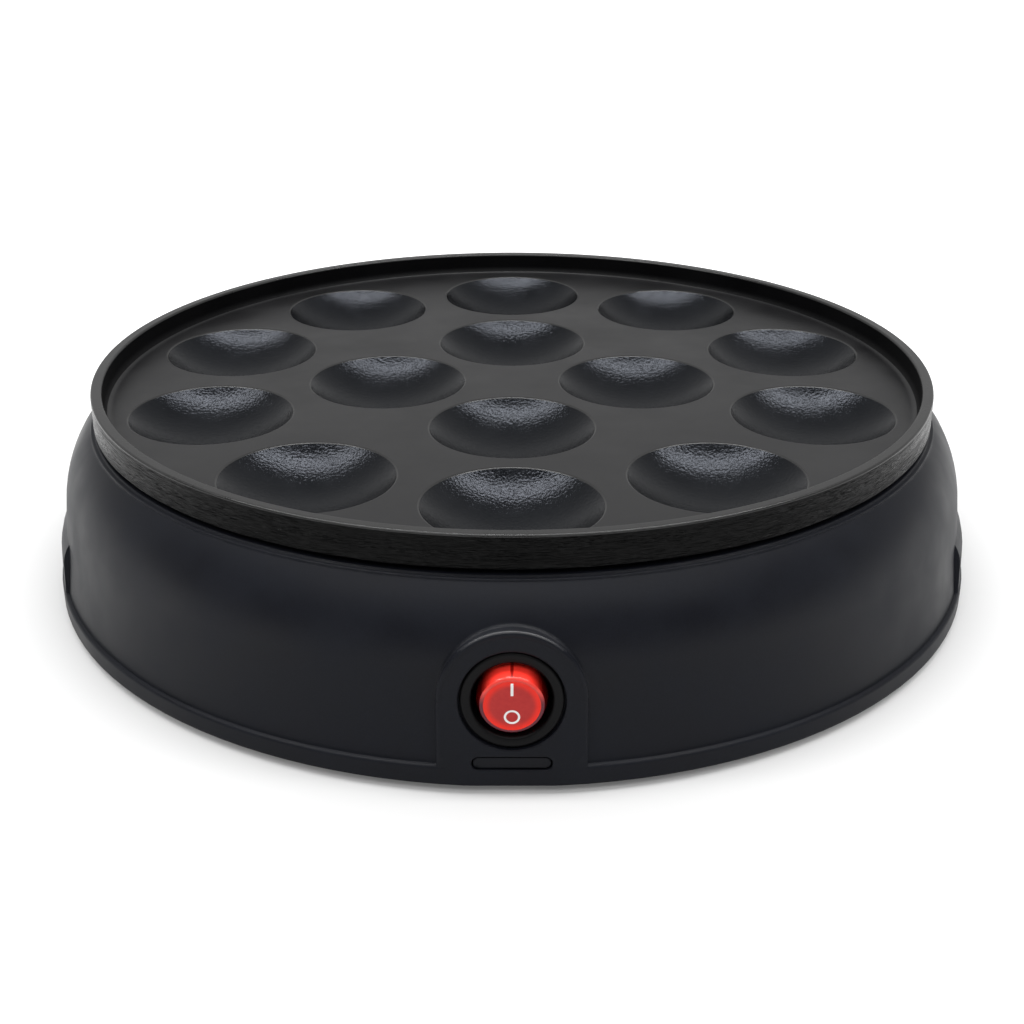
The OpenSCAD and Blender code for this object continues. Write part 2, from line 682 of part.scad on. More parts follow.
module housing_shell() difference() {
    intersection() {
        union() {
            rotate_extrude() wall_profile(0);
            difference() {
                rotate_extrude() band_profile();
                // The band stops behind the boss's flat face
                on_switch() translate([-boss_flat_w / 2, -2 * switch_h, -band_bite])
                    cube([boss_flat_w, 2 * switch_h, flare]);
            }
            translate([0, 0, shoulder_top_z - eps]) {
                cylinder(r = opening_r + bead_w, h = bead_h + eps);
                cylinder(r = opening_r + bead_w + bead_step, h = bead_h / 2 + eps);
            }
            for (a = [0, 180]) rotate([0, 0, a - grip_angle / 2])
                rotate_extrude(angle = grip_angle) grip_profile();
            // The boss's foot stays inside the band's circle
            intersection() {
                arched_boss(boss_r, boss_edge_r, 0);
                translate([0, 0, foot_h - eps]) cylinder(r = base_r - boss_trim, h = body_h);
            }
            translate([0, gland_face_y, gland_z]) rotate([90, 0, 0])
                cylinder(r = gland_boss_r, h = flare + wall);
        }
        translate([0, 0, foot_h]) cylinder(r = base_r + flare, h = body_h);
    }
    rotate_extrude() wall_profile(wall);
    translate([0, 0, shoulder_top_z - wall - eps]) cylinder(r = opening_r, h = bead_h + wall + 2 * eps);
    arched_boss(boss_r - wall, boss_edge_r / 2, -wall);
}

module lug() {
    end_r = wall_line_r(lug_top_z) - wall / 2;
    low_z = lug_top_z - lug_t;
    translate([post_r, 0, low_z]) linear_extrude(lug_t) {
        circle(d = lug_w);
        translate([0, -lug_w / 2]) square([end_r - post_r, lug_w]);
    }
    rotate([90, 0, 0]) translate([0, 0, -gusset_t / 2]) linear_extrude(gusset_t)
        polygon([[post_r + post_d, low_z + eps], [end_r, low_z + eps],
            [wall_line_r(low_z - gusset_h) - wall / 2, low_z - gusset_h]]);
}

module housing() color("#232427") difference() {
    union() {
        housing_shell();
        for (a = post_angles) rotate([0, 0, a]) lug();
        for (a = pillar_angles) at_polar(pillar_r, a, base_top_z) cylinder(d = pillar_d, h = pillar_h);
    }
    for (a = post_angles) at_polar(post_r, a, lug_top_z - lug_t - eps)
        cylinder(d = plate_screw_d + hole_fit, h = lug_t + 2 * eps);
    for (a = pillar_angles) at_polar(pillar_r, a, base_top_z - eps)
        cylinder(d = base_screw_d + hole_fit, h = base_screw_l + eps);
    on_switch() {
        translate([0, 0, -wall - eps]) cylinder(d = switch_hole_d, h = wall + 2 * eps);
        translate([0, 0, -recess_depth]) cylinder(d = bezel_d + 2 * bezel_gap, h = recess_depth + eps);
        translate([0, window_y, -wall - eps]) linear_extrude(wall + 2 * eps) racetrack(window_w, window_h);
    }
    translate([0, gland_face_y + eps, gland_z]) rotate([90, 0, 0])
        cylinder(d = gland_barrel_d + hole_fit, h = gland_face_y - gland_end_y);
}

// Base cover: a vented disc with a catch that shows in the window under the switch
module base_catch() on_switch() {
    back = -wall - base_gap;
    tongue_top = window_y + window_h / 2;
    tongue_low = (base_low_z - switch_z) / cos(boss_lean);
    translate([-window_w / 2 + window_h, tongue_low, back - 2])
        cube([window_w - 2 * window_h, tongue_top - tongue_low, 2]);
    translate([0, window_y, back - eps]) linear_extrude(wall + base_gap + eps - catch_gap)
        racetrack(window_w - 2 * catch_gap, window_h - 2 * catch_gap);
}

module base_cover() color("#1d1e20") difference() {
    union() {
        translate([0, 0, base_low_z]) cylinder(r = base_disc_r, h = base_t);
        intersection() {
            base_catch();
            translate([0, 0, base_low_z]) cylinder(r = base_r + flare, h = body_h);
        }
    }
    for (a = pillar_angles) at_polar(pillar_r, a, 0) {
        translate([0, 0, base_low_z - eps]) cylinder(d = base_screw_d + hole_fit, h = base_t + 2 * eps);
        translate([0, 0, base_low_z - eps]) cylinder(d = base_head_d + 0.6, h = base_head_h + eps);
    }
    for (a = foot_angles) at_polar(foot_ring_r, a, base_low_z - eps)
        cylinder(d = foot_peg_d + hole_fit, h = base_t + 2 * eps);
    for (r = vent_rings, k = [0 : vents - 1]) rotate([0, 0, (k + 0.5) * 360 / vents]) if (vent_clear(r, k))
        translate([r, 0, base_low_z - eps]) linear_extrude(base_t + 2 * eps) racetrack(vent_l, vent_w);
}

// A vent is left out where the terminal block stands on the cover
function vent_clear(r, k) = let (p = polar(r, (k + 0.5) * 360 / vents))
    abs(p[0]) > block_w / 2 + vent_w || abs(p[1] - block_y) > block_l / 2 + vent_l / 2;

module base_screws() color("#8d8f91") for (a = pillar_angles) at_polar(pillar_r, a, base_low_z + base_head_h)
    difference() {
        union() {
            cylinder(d = base_screw_d, h = base_screw_l - 1);
            below(0) cylinder(d = base_head_d, h = base_head_h);
        }
        below(-base_head_h / 2) for (t = [0, 90]) rotate(t) bar([base_head_d * 0.55, 0.9, base_head_h]);
    }

module foot(a) color("#2a2a2b") at_polar(foot_ring_r, a, 0) {
    rotate_extrude() polygon([[0, 0], [foot_d / 2 - 1, 0], [foot_d / 2, base_low_z], [0, base_low_z]]);
    cylinder(d = foot_peg_d, h = base_top_z + eps);
    translate([0, 0, base_top_z]) cylinder(d1 = foot_peg_d + 2, d2 = foot_peg_d - 1, h = 2.2);
}

// Switch
module switch_body() color("#161718") on_switch() difference() {
    union() {
        rotate_extrude() polygon(concat(
            [[barrel_in_r, -recess_depth], [bezel_d / 2, -recess_depth]],
            arc([bezel_d / 2 - 0.7, bezel_front - 0.7], 0.7, 0, 90, 4),
            [[barrel_in_r + 0.5, bezel_front], [barrel_in_r, bezel_front - 0.5]]));
        translate([0, 0, barrel_end]) difference() {
            cylinder(r = barrel_r, h = barrel_l + eps);
            translate([0, 0, barrel_floor_t]) cylinder(r = barrel_in_r, h = barrel_l + 2 * eps);
        }
        // Spring wings behind the boss's wall
        for (s = [0, 1]) mirror([s, 0, 0]) rotate([90, 0, 0]) translate([0, 0, -wing_w / 2])
            linear_extrude(wing_w) polygon([[barrel_r - eps, -wall - wing_gap],
                [barrel_r + wing_out, -wall - wing_gap], [barrel_r - eps, -wall - wing_l]]);
    }
    for (s = [0, 1]) mirror([s, 0, 0]) translate([0, 0, pivot_at]) rotate([0, 90, 0])
        cylinder(d = pivot_d + 2 * pivot_fit, h = pivot_reach + 0.1);
    for (k = [-1 : 1]) translate([0, k * term_step, barrel_end - eps])
        bar([term_w + hole_fit, term_t + hole_fit, barrel_floor_t + 2 * eps]);
}

module rocker_pose(turn) on_switch() translate([0, 0, pivot_at]) rotate([turn, 0, 0])
    translate([0, 0, -pivot_at]) children();

module switch_rocker() color("#d3201f") rocker_pose(rocker_throw / 2) difference() {
    union() {
        rotate_extrude() polygon(concat(
            [[0, rocker_low], [rocker_base_r, rocker_low], [rocker_base_r, bezel_front - 1]],
            arc([rocker_d / 2 - rocker_edge_r, rocker_face - rocker_edge_r], rocker_edge_r, 0, 90, 5),
            [[0, rocker_face]]));
        for (s = [0, 1]) mirror([s, 0, 0]) translate([0, 0, pivot_at]) rotate([0, 90, 0])
            cylinder(d = pivot_d, h = pivot_reach);
    }
    difference() {
        translate([0, 0, rocker_low - eps])
            cylinder(r = rocker_base_r - rocker_skin, h = rocker_face - rocker_skin - rocker_low + eps);
        translate([0, 0, rocker_low - 2 * eps])
            cylinder(r = post_bore_r + post_wall, h = rocker_face - rocker_low);
    }
    translate([0, 0, rocker_low - eps])
        cylinder(r = post_bore_r, h = rocker_face - rocker_skin - rocker_low + eps);
}

module switch_lamp() color("#f2c9a0") rocker_pose(rocker_throw / 2)
    translate([0, lamp_at, rocker_low + 1]) {
        cylinder(d = lamp_d, h = rocker_face - rocker_skin - rocker_low - 1 - lamp_d / 2 - 0.3);
        translate([0, 0, rocker_face - rocker_skin - rocker_low - 1 - lamp_d / 2 - 0.3]) sphere(d = lamp_d);
    }

module switch_plunger() color("#d8d5cc") rocker_pose(rocker_throw / 2) {
    ball_at = plunger_tip + plunger_d / 2;
    translate([0, 0, ball_at]) cylinder(d = plunger_d, h = plunger_top - ball_at);
    translate([0, 0, ball_at]) sphere(d = plunger_d);
}

// Compression spring between the plunger and the rocker's face
module plunger_spring() color("#b8babc") rocker_pose(rocker_throw / 2) {
    coil_r = post_bore_r - spring_wire_d / 2 - 0.2;
    low = plunger_top + spring_wire_d / 2;
    rise = rocker_face - rocker_skin - spring_wire_d / 2 - low;
    steps = 12 * spring_turns;
    tube([for (i = [0 : steps]) polar(coil_r, 30 * i) + [0, 0, low + rise * i / steps]], spring_wire_d, 6);
}

module contact_lever() color("#c48a4a") on_switch()
    translate([0, 0, lever_at]) rotate([-lever_throw / 2, 0, 0]) {
        translate([0, 0, -lever_t / 2]) bar([lever_w, lever_l, lever_t]);
        // Rolled knuckle that the lever rocks on
        intersection() {
            rotate([0, 90, 0]) cylinder(r = knuckle_r, h = knuckle_w, center = true);
            translate([0, 0, -knuckle_r]) bar([lever_w, 3 * knuckle_r, knuckle_r]);
        }
        translate([0, (contact_d - lever_l) / 2, -lever_t / 2 - contact_h])
            cylinder(d = contact_d, h = contact_h + lever_t / 2);
    }

// Height inside the barrel where each terminal ends: the middle one carries the lever
function term_top(k) = lever_at - term_gap
    - (k == 0 ? knuckle_r : lever_t / 2 + contact_h + (lever_l / 2) * sin(lever_throw / 2));

module switch_terminals() color("#c9b06a") on_switch()
    for (k = [-1 : 1]) translate([0, k * term_step, term_end]) bar([term_w, term_t, term_top(k) - term_end]);

// Terminal block, cord gland and earth point
module terminal_block() color("#e9e6dc") difference() {
    union() {
        translate([0, block_y, base_top_z]) bar([block_w, block_l, block_h * 0.6]);
        for (k = [0 : poles - 1]) translate([pole_x(k), block_y, base_top_z])
            bar([pole_step - 1.5, block_l, block_h]);
    }
    for (k = [0 : poles - 1]) {
        translate(pole_at(k, 1) + [0, eps, 0]) rotate([90, 0, 0]) cylinder(d = pole_hole_d, h = block_l / 2);
        for (s = [-1, 1]) translate([pole_x(k), block_y + s * block_l / 4, base_top_z + block_h * 0.75])
            cylinder(d = small_screw_d + 1, h = block_h);
    }
}

module block_screws() color("#c9b06a") for (k = [0 : poles - 1], s = [-1, 1])
    translate([pole_x(k), block_y + s * block_l / 4, base_top_z + block_h * 0.75])
        difference() {
            cylinder(d = small_screw_d + 0.8, h = 2);
            translate([0, 0, 1.4]) bar([small_screw_d + 1, 0.7, 1]);
        }

module cord_gland() color("#1a1a1b") translate([0, 0, gland_z]) rotate([-90, 0, 0]) difference() {
    union() {
        translate([0, 0, gland_end_y]) cylinder(d = gland_barrel_d, h = gland_face_y - gland_end_y + eps);
        translate([0, 0, gland_face_y]) rotate_extrude() polygon(concat([[0, 0], [gland_d / 2, 0]],
            arc([gland_d / 2 - 1.5, gland_out - 1.5], 1.5, 0, 90, 5), [[0, gland_out]]));
    }
    translate([0, 0, gland_end_y - eps]) cylinder(d = cord_hole_d, h = base_r);
}

module gland_nut() color("#1a1a1b") translate([0, nut_y, gland_z]) rotate([-90, 0, 0]) difference() {
    cylinder(d = nut_w, h = nut_t, $fn = 6);
    translate([0, 0, -eps]) cylinder(d = gland_barrel_d + hole_fit, h = nut_t + 2 * eps);
}

module earth_tag() color("#c9b06a") at_polar(earth_r, earth_angle, shield_z - tag_t) difference() {
    union() {
        cylinder(d = tag_d, h = tag_t);
        translate([-tag_tail, -tab_w / 4, 0]) cube([tag_tail, tab_w / 2, tag_t]);
    }
    translate([0, 0, -eps]) cylinder(d = plate_screw_d + hole_fit, h = tag_t + 2 * eps);
}

module earth_screw() color("#c8c9ca")
    at_polar(earth_r, earth_angle, shield_z - tag_t) screw(plate_screw_d, earth_screw_l);

module earth_nut() color("#c8c9ca") at_polar(earth_r, earth_angle, shield_top_z) difference() {
    cylinder(d = plate_screw_d * 1.9, h = plate_screw_d * 0.7, $fn = 6);
    translate([0, 0, -eps]) cylinder(d = plate_screw_d + hole_fit, h = plate_screw_d);
}

// Inner wires, from terminal to terminal
module wire(points) tube(rounded(points, wire_bend_r, 3), wire_d, 8);

module wire_live() color("#6b3f22")
    let (p = pole_at(2, -1), q = switch_tail(-1, 0), b = switch_tail(-1, live_back))
    wire([p, [p[0], b[1] + live_turn, p[2]], b, q]);

module wire_switched() color("#20242a")
    let (q = switch_tail(0, 0), b = switch_tail(0, switched_back), p = blade_at(-1))
    wire([q, b, p - [0, 0, blade_drop], p]);

module wire_fuse() color("#f0efe8") let (p = blade_at(1), q = fuse_end(-1), low = p[2] - blade_drop)
    wire([p, [p[0], p[1], low], [q[0], q[1], low], q - [0, 0, fuse_lead_d / 2]]);

// Runs halfway between the tab's end and the base cover
module wire_heater() color("#f0efe8")
    let (p = fuse_end(1), q = leg_at(1, tab_low_z), low = (tab_low_z + base_top_z) / 2)
    wire([p - [0, 0, fuse_lead_d / 2], [p[0], p[1], low], [q[0], q[1], low], q]);

module wire_neutral() color("#2e5fa3")
    let (p = pole_at(1, -1), q = leg_at(-1, tab_low_z), low = (tab_low_z + base_top_z) / 2)
    wire([p, p - [0, pole_lead, 0], [q[0], q[1], low], q]);

module wire_lamp() color("#2e5fa3")
    let (p = pole_at(3, -1), q = switch_tail(1, 0), b = switch_tail(1, lamp_back))
    wire([p, p - [0, pole_lead, 0], [lamp_lane, p[1] - lamp_turn, p[2]],
        [lamp_lane, b[1] + lamp_drop, p[2]], b, q]);

module wire_earth() color("#6fa33a")
    let (p = pole_at(0, -1), q = polar(earth_r - tag_tail + wire_d, earth_angle) + [0, 0, shield_z - tag_t])
    wire([p, p - [0, earth_lead, 0], [q[0], q[1], (p[2] + q[2]) / 2], q]);

baking_plate();
housing();
base_cover();
base_screws();
foot(foot_angles[0]);  // foot_rear_right
foot(foot_angles[1]);  // foot_rear_left
foot(foot_angles[2]);  // foot_front_left
foot(foot_angles[3]);  // foot_front_right
heating_element();
heater_cover();
cover_screws();
heater_beads();
heater_tabs();
thermostat_cap();
thermostat_body();
thermostat_blades();
thermostat_screws();
thermal_fuse();
fuse_clip();
heat_shield();
insulating_washers();
plate_screws();
switch_body();
switch_rocker();
switch_lamp();
switch_plunger();
plunger_spring();
contact_lever();
switch_terminals();
terminal_block();
block_screws();
cord_gland();
gland_nut();
earth_tag();
earth_screw();
earth_nut();
wire_live();
wire_switched();
wire_fuse();
wire_heater();
wire_neutral();
wire_lamp();
wire_earth();
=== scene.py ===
# %% [markdown]
# # A poffertjes maker
# This lesson dresses a small electric pancake griddle: a dark cast plate with fourteen shallow cups, on a
# round black housing with a red rocker switch. The solids come packed from the CAD side, in metres, with
# the table at z = 0 and the switch towards -Y. Here each visible piece gets a finer skin and a finish, and
# the photograph's camera and light are set up.

# %% Load the frame
import json
import math

import bmesh
import bpy
from mathutils import Matrix, Vector


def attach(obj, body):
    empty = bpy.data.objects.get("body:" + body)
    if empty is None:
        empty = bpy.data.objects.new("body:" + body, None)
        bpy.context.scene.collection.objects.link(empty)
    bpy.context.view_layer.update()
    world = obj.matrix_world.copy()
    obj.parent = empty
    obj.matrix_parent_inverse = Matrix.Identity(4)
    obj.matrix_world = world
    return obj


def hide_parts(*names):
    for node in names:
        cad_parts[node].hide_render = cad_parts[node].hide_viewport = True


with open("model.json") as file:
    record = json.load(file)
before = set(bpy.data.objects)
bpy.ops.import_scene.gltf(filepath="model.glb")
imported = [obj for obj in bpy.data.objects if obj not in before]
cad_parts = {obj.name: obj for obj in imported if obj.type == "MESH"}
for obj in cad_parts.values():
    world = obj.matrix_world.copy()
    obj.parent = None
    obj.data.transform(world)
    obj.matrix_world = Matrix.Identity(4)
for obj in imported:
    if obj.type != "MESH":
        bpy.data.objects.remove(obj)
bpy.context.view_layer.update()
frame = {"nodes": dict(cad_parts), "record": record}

# %% [markdown]
# ## Camera
# The camera comes first, because everything is judged through it. The ellipses of the plate's rim and of
# the cups give the pitch and the distance: the lens looks 24.5 degrees down from 0.46 m. A longer lens from
# further away would flatten the cups, so the distance is kept.

# %% Camera
MM = 0.001
PITCH = 24.54
camera_data = bpy.data.cameras.new("camera")
camera_data.sensor_width = 36
camera_data.lens = 54.18
camera_data.dof.use_dof = False
camera = bpy.data.objects.new("camera", camera_data)
camera.location = (0.0, -413.1 * MM, 198.7 * MM)
camera.rotation_euler = (math.radians(90 - PITCH), 0, 0)
bpy.context.scene.collection.objects.link(camera)
bpy.context.scene.camera = camera
print("camera at", [round(v, 3) for v in camera.location])

# %% [markdown]
# ## Helpers for node trees
# Shader trees and geometry trees are built from the same small step: add a node, set it, and link or fill
# its inputs. One function does that for both. Colours are written as sRGB hex, as one would pick them from
# a chart, and are turned to linear light once.

# %% Node and colour helpers
def add_node(tree, kind, inputs=None, **settings):
    node = tree.nodes.new(kind)
    for key, value in settings.items():
        setattr(node, key, value)
    for socket, value in (inputs or {}).items():
        if isinstance(value, bpy.types.NodeSocket):
            tree.links.new(value, node.inputs[socket])
        else:
            node.inputs[socket].default_value = value
    return node


def linear(hex_code):
    parts = [int(hex_code[i:i + 2], 16) / 255 for i in (1, 3, 5)]
    return tuple(c / 12.92 if c <= 0.04045 else ((c + 0.055) / 1.055) ** 2.4 for c in parts) + (1.0,)


# A Mix node has sockets named A and B for each of its types. These are the numbers of the colour ones.
MIX_A, MIX_B, MIX_RESULT = 6, 7, 2
print("mid grey is", [round(c, 3) for c in linear("#808080")])

# %% [markdown]
# ## Finishes
# Every finish starts from the same layout: Object coordinates, a fine grain that tips the normal, and a
# slow cloud that shifts the colour and the roughness a little, because no moulded or cast surface is even.
# What differs is the size of the grain in millimetres, how deep it is, and how far it is stretched: a
# turned surface has marks that run along the cut. Where round_mm is given, a Bevel node rounds the normals
# over each edge by that radius, as a mould or a coat does.

# %% A grained surface
def grained(name, dark, light, rough, grain_mm, depth_mm, cloud_mm=18, stretch=(1, 1, 1), rough_swing=0.06,
            specular=0.5, round_mm=0):
    material = bpy.data.materials.new(name)
    material.use_nodes = True
    tree = material.node_tree
    shader = tree.nodes["Principled BSDF"]
    shader.inputs["Specular IOR Level"].default_value = specular
    on_object = add_node(tree, "ShaderNodeTexCoord").outputs["Object"]
    scaled = add_node(tree, "ShaderNodeMapping", {"Vector": on_object, "Scale": stretch}).outputs["Vector"]
    cloud = add_node(tree, "ShaderNodeTexNoise",
                     {"Vector": scaled, "Scale": 1 / (cloud_mm * MM), "Detail": 3.0}).outputs["Fac"]
    grain = add_node(tree, "ShaderNodeTexNoise",
                     {"Vector": scaled, "Scale": 1 / (grain_mm * MM), "Detail": 2.0}).outputs["Fac"]
    both = add_node(tree, "ShaderNodeMath", {0: cloud, 1: grain}, operation="ADD").outputs[0]
    tint = add_node(tree, "ShaderNodeMapRange", {"Value": both, "From Min": 0.7, "From Max": 1.3}).outputs[0]
    mixed = add_node(tree, "ShaderNodeMix", {"Factor": tint, MIX_A: linear(dark), MIX_B: linear(light)},
                     data_type="RGBA")
    tree.links.new(mixed.outputs[MIX_RESULT], shader.inputs["Base Color"])
    gloss = add_node(tree, "ShaderNodeMapRange",
                     {"Value": cloud, "From Min": 0.3, "From Max": 0.7,
                      "To Min": rough - rough_swing, "To Max": rough + rough_swing})
    tree.links.new(gloss.outputs[0], shader.inputs["Roughness"])
    bump = add_node(tree, "ShaderNodeBump", {"Height": grain, "Strength": 1.0, "Distance": depth_mm * MM})
    tree.links.new(bump.outputs[0], shader.inputs["Normal"])
    if round_mm:
        rounded = add_node(tree, "ShaderNodeBevel", {"Radius": round_mm * MM}, samples=6)
        tree.links.new(rounded.outputs[0], bump.inputs["Normal"])
    return material


# ABS from a spark-eroded mould: matt blue-black, with a fine even grain that spreads every reflection. Its
# edges are rounded in the mould, and that small radius is what draws the thin bright lines.
housing_abs = grained("moulded_abs_blue_black", "#0e0f14", "#13151b", 0.44, 0.35, 0.004, specular=0.12,
                      round_mm=0.8)
# Where the boss runs into the wall, the mould has a wide hollow radius, which gathers the light from above.
arch_abs = grained("moulded_abs_wide_radius", "#0e0f14", "#13151b", 0.44, 0.35, 0.004, specular=0.2,
                   round_mm=2.4)
# The small radius along the boss's front edge comes out smoother, and draws a crisp line.
crest_abs = grained("moulded_abs_smooth_edge", "#0e0f14", "#13151b", 0.34, 0.35, 0.002, specular=0.45)
# The base cover is the same plastic from a plainer mould.
cover_abs = grained("moulded_abs_black", "#111216", "#16171b", 0.45, 0.6, 0.006, specular=0.12, round_mm=0.3)
# Non-stick coat on the plate's floor: a dark neutral grey with the dust-like texture of a sprayed, baked
# coat.
floor_coat = grained("sprayed_non_stick_coat", "#131314", "#1a1a1b", 0.38, 0.35, 0.008, specular=0.25)
# The upright inner wall of the rim gets a blacker colour, which is painted shade, as hardly any light
# reaches it.
wall_coat_painted_shade = grained("non_stick_coat_painted_shade", "#060607", "#0b0b0c", 0.5, 0.35, 0.006, specular=0.05)
# In the cups the coat runs smoother and flows into an orange peel, which breaks the light into small
# sparks. The peel is drawn deeper than a real one, so that it shows at this distance. Its light is faintly
# blue.
cup_coat = grained("flowed_non_stick_coat", "#07080a", "#0c0d0f", 0.17, 0.65, 0.11, cloud_mm=7, specular=0.2)
cup_coat.node_tree.nodes["Principled BSDF"].inputs["Specular Tint"].default_value = linear("#e9f0ff")
# The rim's outer wall is turned on a lathe before it is coated: streaks that run round the plate. They are
# drawn coarser than real turning marks, which would be too fine to show.
rim_turned = grained("turned_and_coated_rim", "#030303", "#0b0b0b", 0.3, 6.0, 0.5, cloud_mm=30,
                     stretch=(1, 1, 14), rough_swing=0.1, specular=0.08)
# On narrow rounded edges the coat is smoother and draws a fine line of light. Its colour is a little
# lighter than the floor's: a painted highlight along that line.
edge_coat_painted_highlight = grained("coat_on_rounded_edges_painted_highlight", "#171717", "#222222", 0.3, 0.5, 0.012, specular=0.36)
# The feet's soft rubber and the gland's nylon are only seen from below or from behind. The switch's nylon
# is blacker and smoother than the housing round it.
foot_rubber = grained("matt_rubber", "#1c1c1c", "#262626", 0.8, 0.8, 0.02)
gland_nylon = grained("moulded_nylon_black", "#101011", "#171718", 0.48, 0.5, 0.006)
switch_nylon = grained("moulded_nylon_switch_black", "#09090a", "#0d0d0e", 0.4, 0.3, 0.003, specular=0.1,
                       round_mm=0.25)
print("grained finishes", len(bpy.data.materials))

# %% [markdown]
# ## Inner pieces
# The element, the thermostat, the switch's works and the wires are closed in, and show only in a cut-away.
# Their CAD solids stay as they are and get the finish of what they are made of: plated steel, rolled sheet,
# brass, ceramic, mica and coloured sleeves. A metal is the same grained surface with its metallic value at
# 1.

# %% Metals, ceramics and sleeves of the inner pieces
def metal(name, dark, light, rough, grain_mm, depth_mm):
    material = grained(name, dark, light, rough, grain_mm, depth_mm)
    material.node_tree.nodes["Principled BSDF"].inputs["Metallic"].default_value = 1.0
    return material


# Zinc plate is pale and slightly clouded, aluminium sheet is rolled, brass is warm and bare.
zinc_steel = metal("zinc_plated_steel", "#a8abae", "#c2c5c8", 0.32, 0.7, 0.004)
rolled_aluminium = metal("rolled_aluminium_sheet", "#b0b2b5", "#cfd1d3", 0.38, 1.2, 0.004)
heater_sheath = metal("annealed_steel_sheath", "#5c5a57", "#77736d", 0.5, 0.9, 0.006)
bare_brass = metal("bare_brass", "#b08d45", "#cdaa5e", 0.34, 0.6, 0.004)
copper_alloy = metal("copper_alloy_strip", "#a86c42", "#c4875a", 0.36, 0.6, 0.004)
white_ceramic = grained("unglazed_ceramic", "#d8d2c2", "#e8e3d6", 0.7, 0.5, 0.01)
brown_phenolic = grained("moulded_phenolic_brown", "#35241c", "#463127", 0.35, 0.6, 0.004)
pressed_mica = grained("pressed_mica", "#b9ab84", "#d2c59f", 0.55, 1.5, 0.01)
ivory_nylon = grained("moulded_nylon_ivory", "#dedad0", "#ece9e1", 0.45, 0.6, 0.005)
lamp_glass = grained("lamp_glass", "#f3d9bd", "#f8e6d2", 0.1, 1.0, 0.001)
lamp_glass.node_tree.nodes["Principled BSDF"].inputs["Transmission Weight"].default_value = 0.8
sleeves = {
    "brown": grained("sleeve_brown", "#5f361c", "#6f4226", 0.5, 0.8, 0.006),
    "black": grained("sleeve_black", "#1c1e22", "#26282c", 0.5, 0.8, 0.006),
    "white": grained("sleeve_white", "#e2e0d6", "#efede4", 0.55, 0.8, 0.006),
    "blue": grained("sleeve_blue", "#26539a", "#3263ab", 0.5, 0.8, 0.006),
    "green": grained("sleeve_green", "#5f9432", "#75a93f", 0.5, 0.8, 0.006),
}
inner_finish = {
    "base_screws": zinc_steel, "cover_screws": zinc_steel, "thermostat_screws": zinc_steel,
    "plate_screws": zinc_steel, "earth_screw": zinc_steel, "earth_nut": zinc_steel, "fuse_clip": zinc_steel,
    "heating_element": heater_sheath, "heater_cover": rolled_aluminium, "thermostat_cap": rolled_aluminium,
    "heat_shield": rolled_aluminium, "heater_beads": white_ceramic, "heater_tabs": bare_brass,
    "thermostat_blades": bare_brass, "switch_terminals": bare_brass, "earth_tag": bare_brass,
    "block_screws": bare_brass, "thermal_fuse": bare_brass, "thermostat_body": brown_phenolic,
    "insulating_washers": pressed_mica, "terminal_block": ivory_nylon, "switch_plunger": ivory_nylon,
    "plunger_spring": zinc_steel, "contact_lever": copper_alloy, "switch_lamp": lamp_glass,
    "gland_nut": gland_nylon, "wire_live": sleeves["brown"], "wire_switched": sleeves["black"],
    "wire_fuse": sleeves["white"], "wire_heater": sleeves["white"], "wire_neutral": sleeves["blue"],
    "wire_lamp": sleeves["blue"], "wire_earth": sleeves["green"],
}
print("inner pieces with a finish", len(inner_finish))

# %% [markdown]
# ## Red polycarbonate
# The rocker is moulded in clear red polycarbonate, and its colours carry painted light. Its face is frosted,
# so light that enters there spreads and gathers towards the rim: the middle looks dull and the edge burns,
# and the colour paints this as a glow. The polished rim has a painted highlight on top, and further down
# painted shade where the dark switch shows behind it. The wall has a painted glow in the middle and painted
# shade towards its sides. A glass shader could do this with a lamp inside. Numbers that are stored on the
# points are quicker and calmer: reach grows from the middle of the face, limb towards the sides and under
# towards the lower edge.

# %% Rocker finishes
def painted_light_from_number(material, attribute, start, end, colour):
    """Paints light or shade into the colour: a number that is stored on the points carries it over to
    another one.
    """
    tree = material.node_tree
    shader = tree.nodes["Principled BSDF"]
    number = add_node(tree, "ShaderNodeAttribute", attribute_name=attribute).outputs["Fac"]
    share = add_node(tree, "ShaderNodeMapRange", {"Value": number, "From Min": start, "From Max": end},
                     interpolation_type="SMOOTHSTEP").outputs[0]
    before = shader.inputs["Base Color"].links[0].from_socket
    mixed = add_node(tree, "ShaderNodeMix", {"Factor": share, MIX_A: before, MIX_B: linear(colour)},
                     data_type="RGBA")
    tree.links.new(mixed.outputs[MIX_RESULT], shader.inputs["Base Color"])


# The skirt's wall: a bright red that is a painted glow, turning to dark red towards the sides as painted
# shade.
rocker_red_painted_glow_and_shade = grained("polished_red_polycarbonate_painted_glow_and_shade", "#f03228", "#fa3c30", 0.1, 2.5, 0.001, rough_swing=0.03)
painted_light_from_number(rocker_red_painted_glow_and_shade, "limb", 0.4, 0.9, "#4c0504")
# The clear rim: bright red on top, a painted highlight, and dark purple further down, painted shade where
# the dark switch shows behind it.
rocker_rim_painted_light = grained("clear_red_polycarbonate_rim_painted_light", "#d23a32", "#dc4238", 0.08, 2.5, 0.001, rough_swing=0.03,
                     specular=0.3)
painted_light_from_number(rocker_rim_painted_light, "under", -0.55, 0.0, "#5c1f2a")
# A dark red for a thin strip along the top of the skirt.
rocker_dark_strip = grained("dark_red_strip", "#8c100c", "#9c140e", 0.2, 2.5, 0.001)
# The frosted face: dull red in the middle, turning bright red towards its edge, which is a painted glow.
rocker_satin_painted_glow = grained("frosted_red_polycarbonate_painted_glow", "#ac302f", "#b83835", 0.45, 1.2, 0.004, specular=0.15)
painted_light_from_number(rocker_satin_painted_glow, "reach", 0.7, 0.98, "#ee3428")
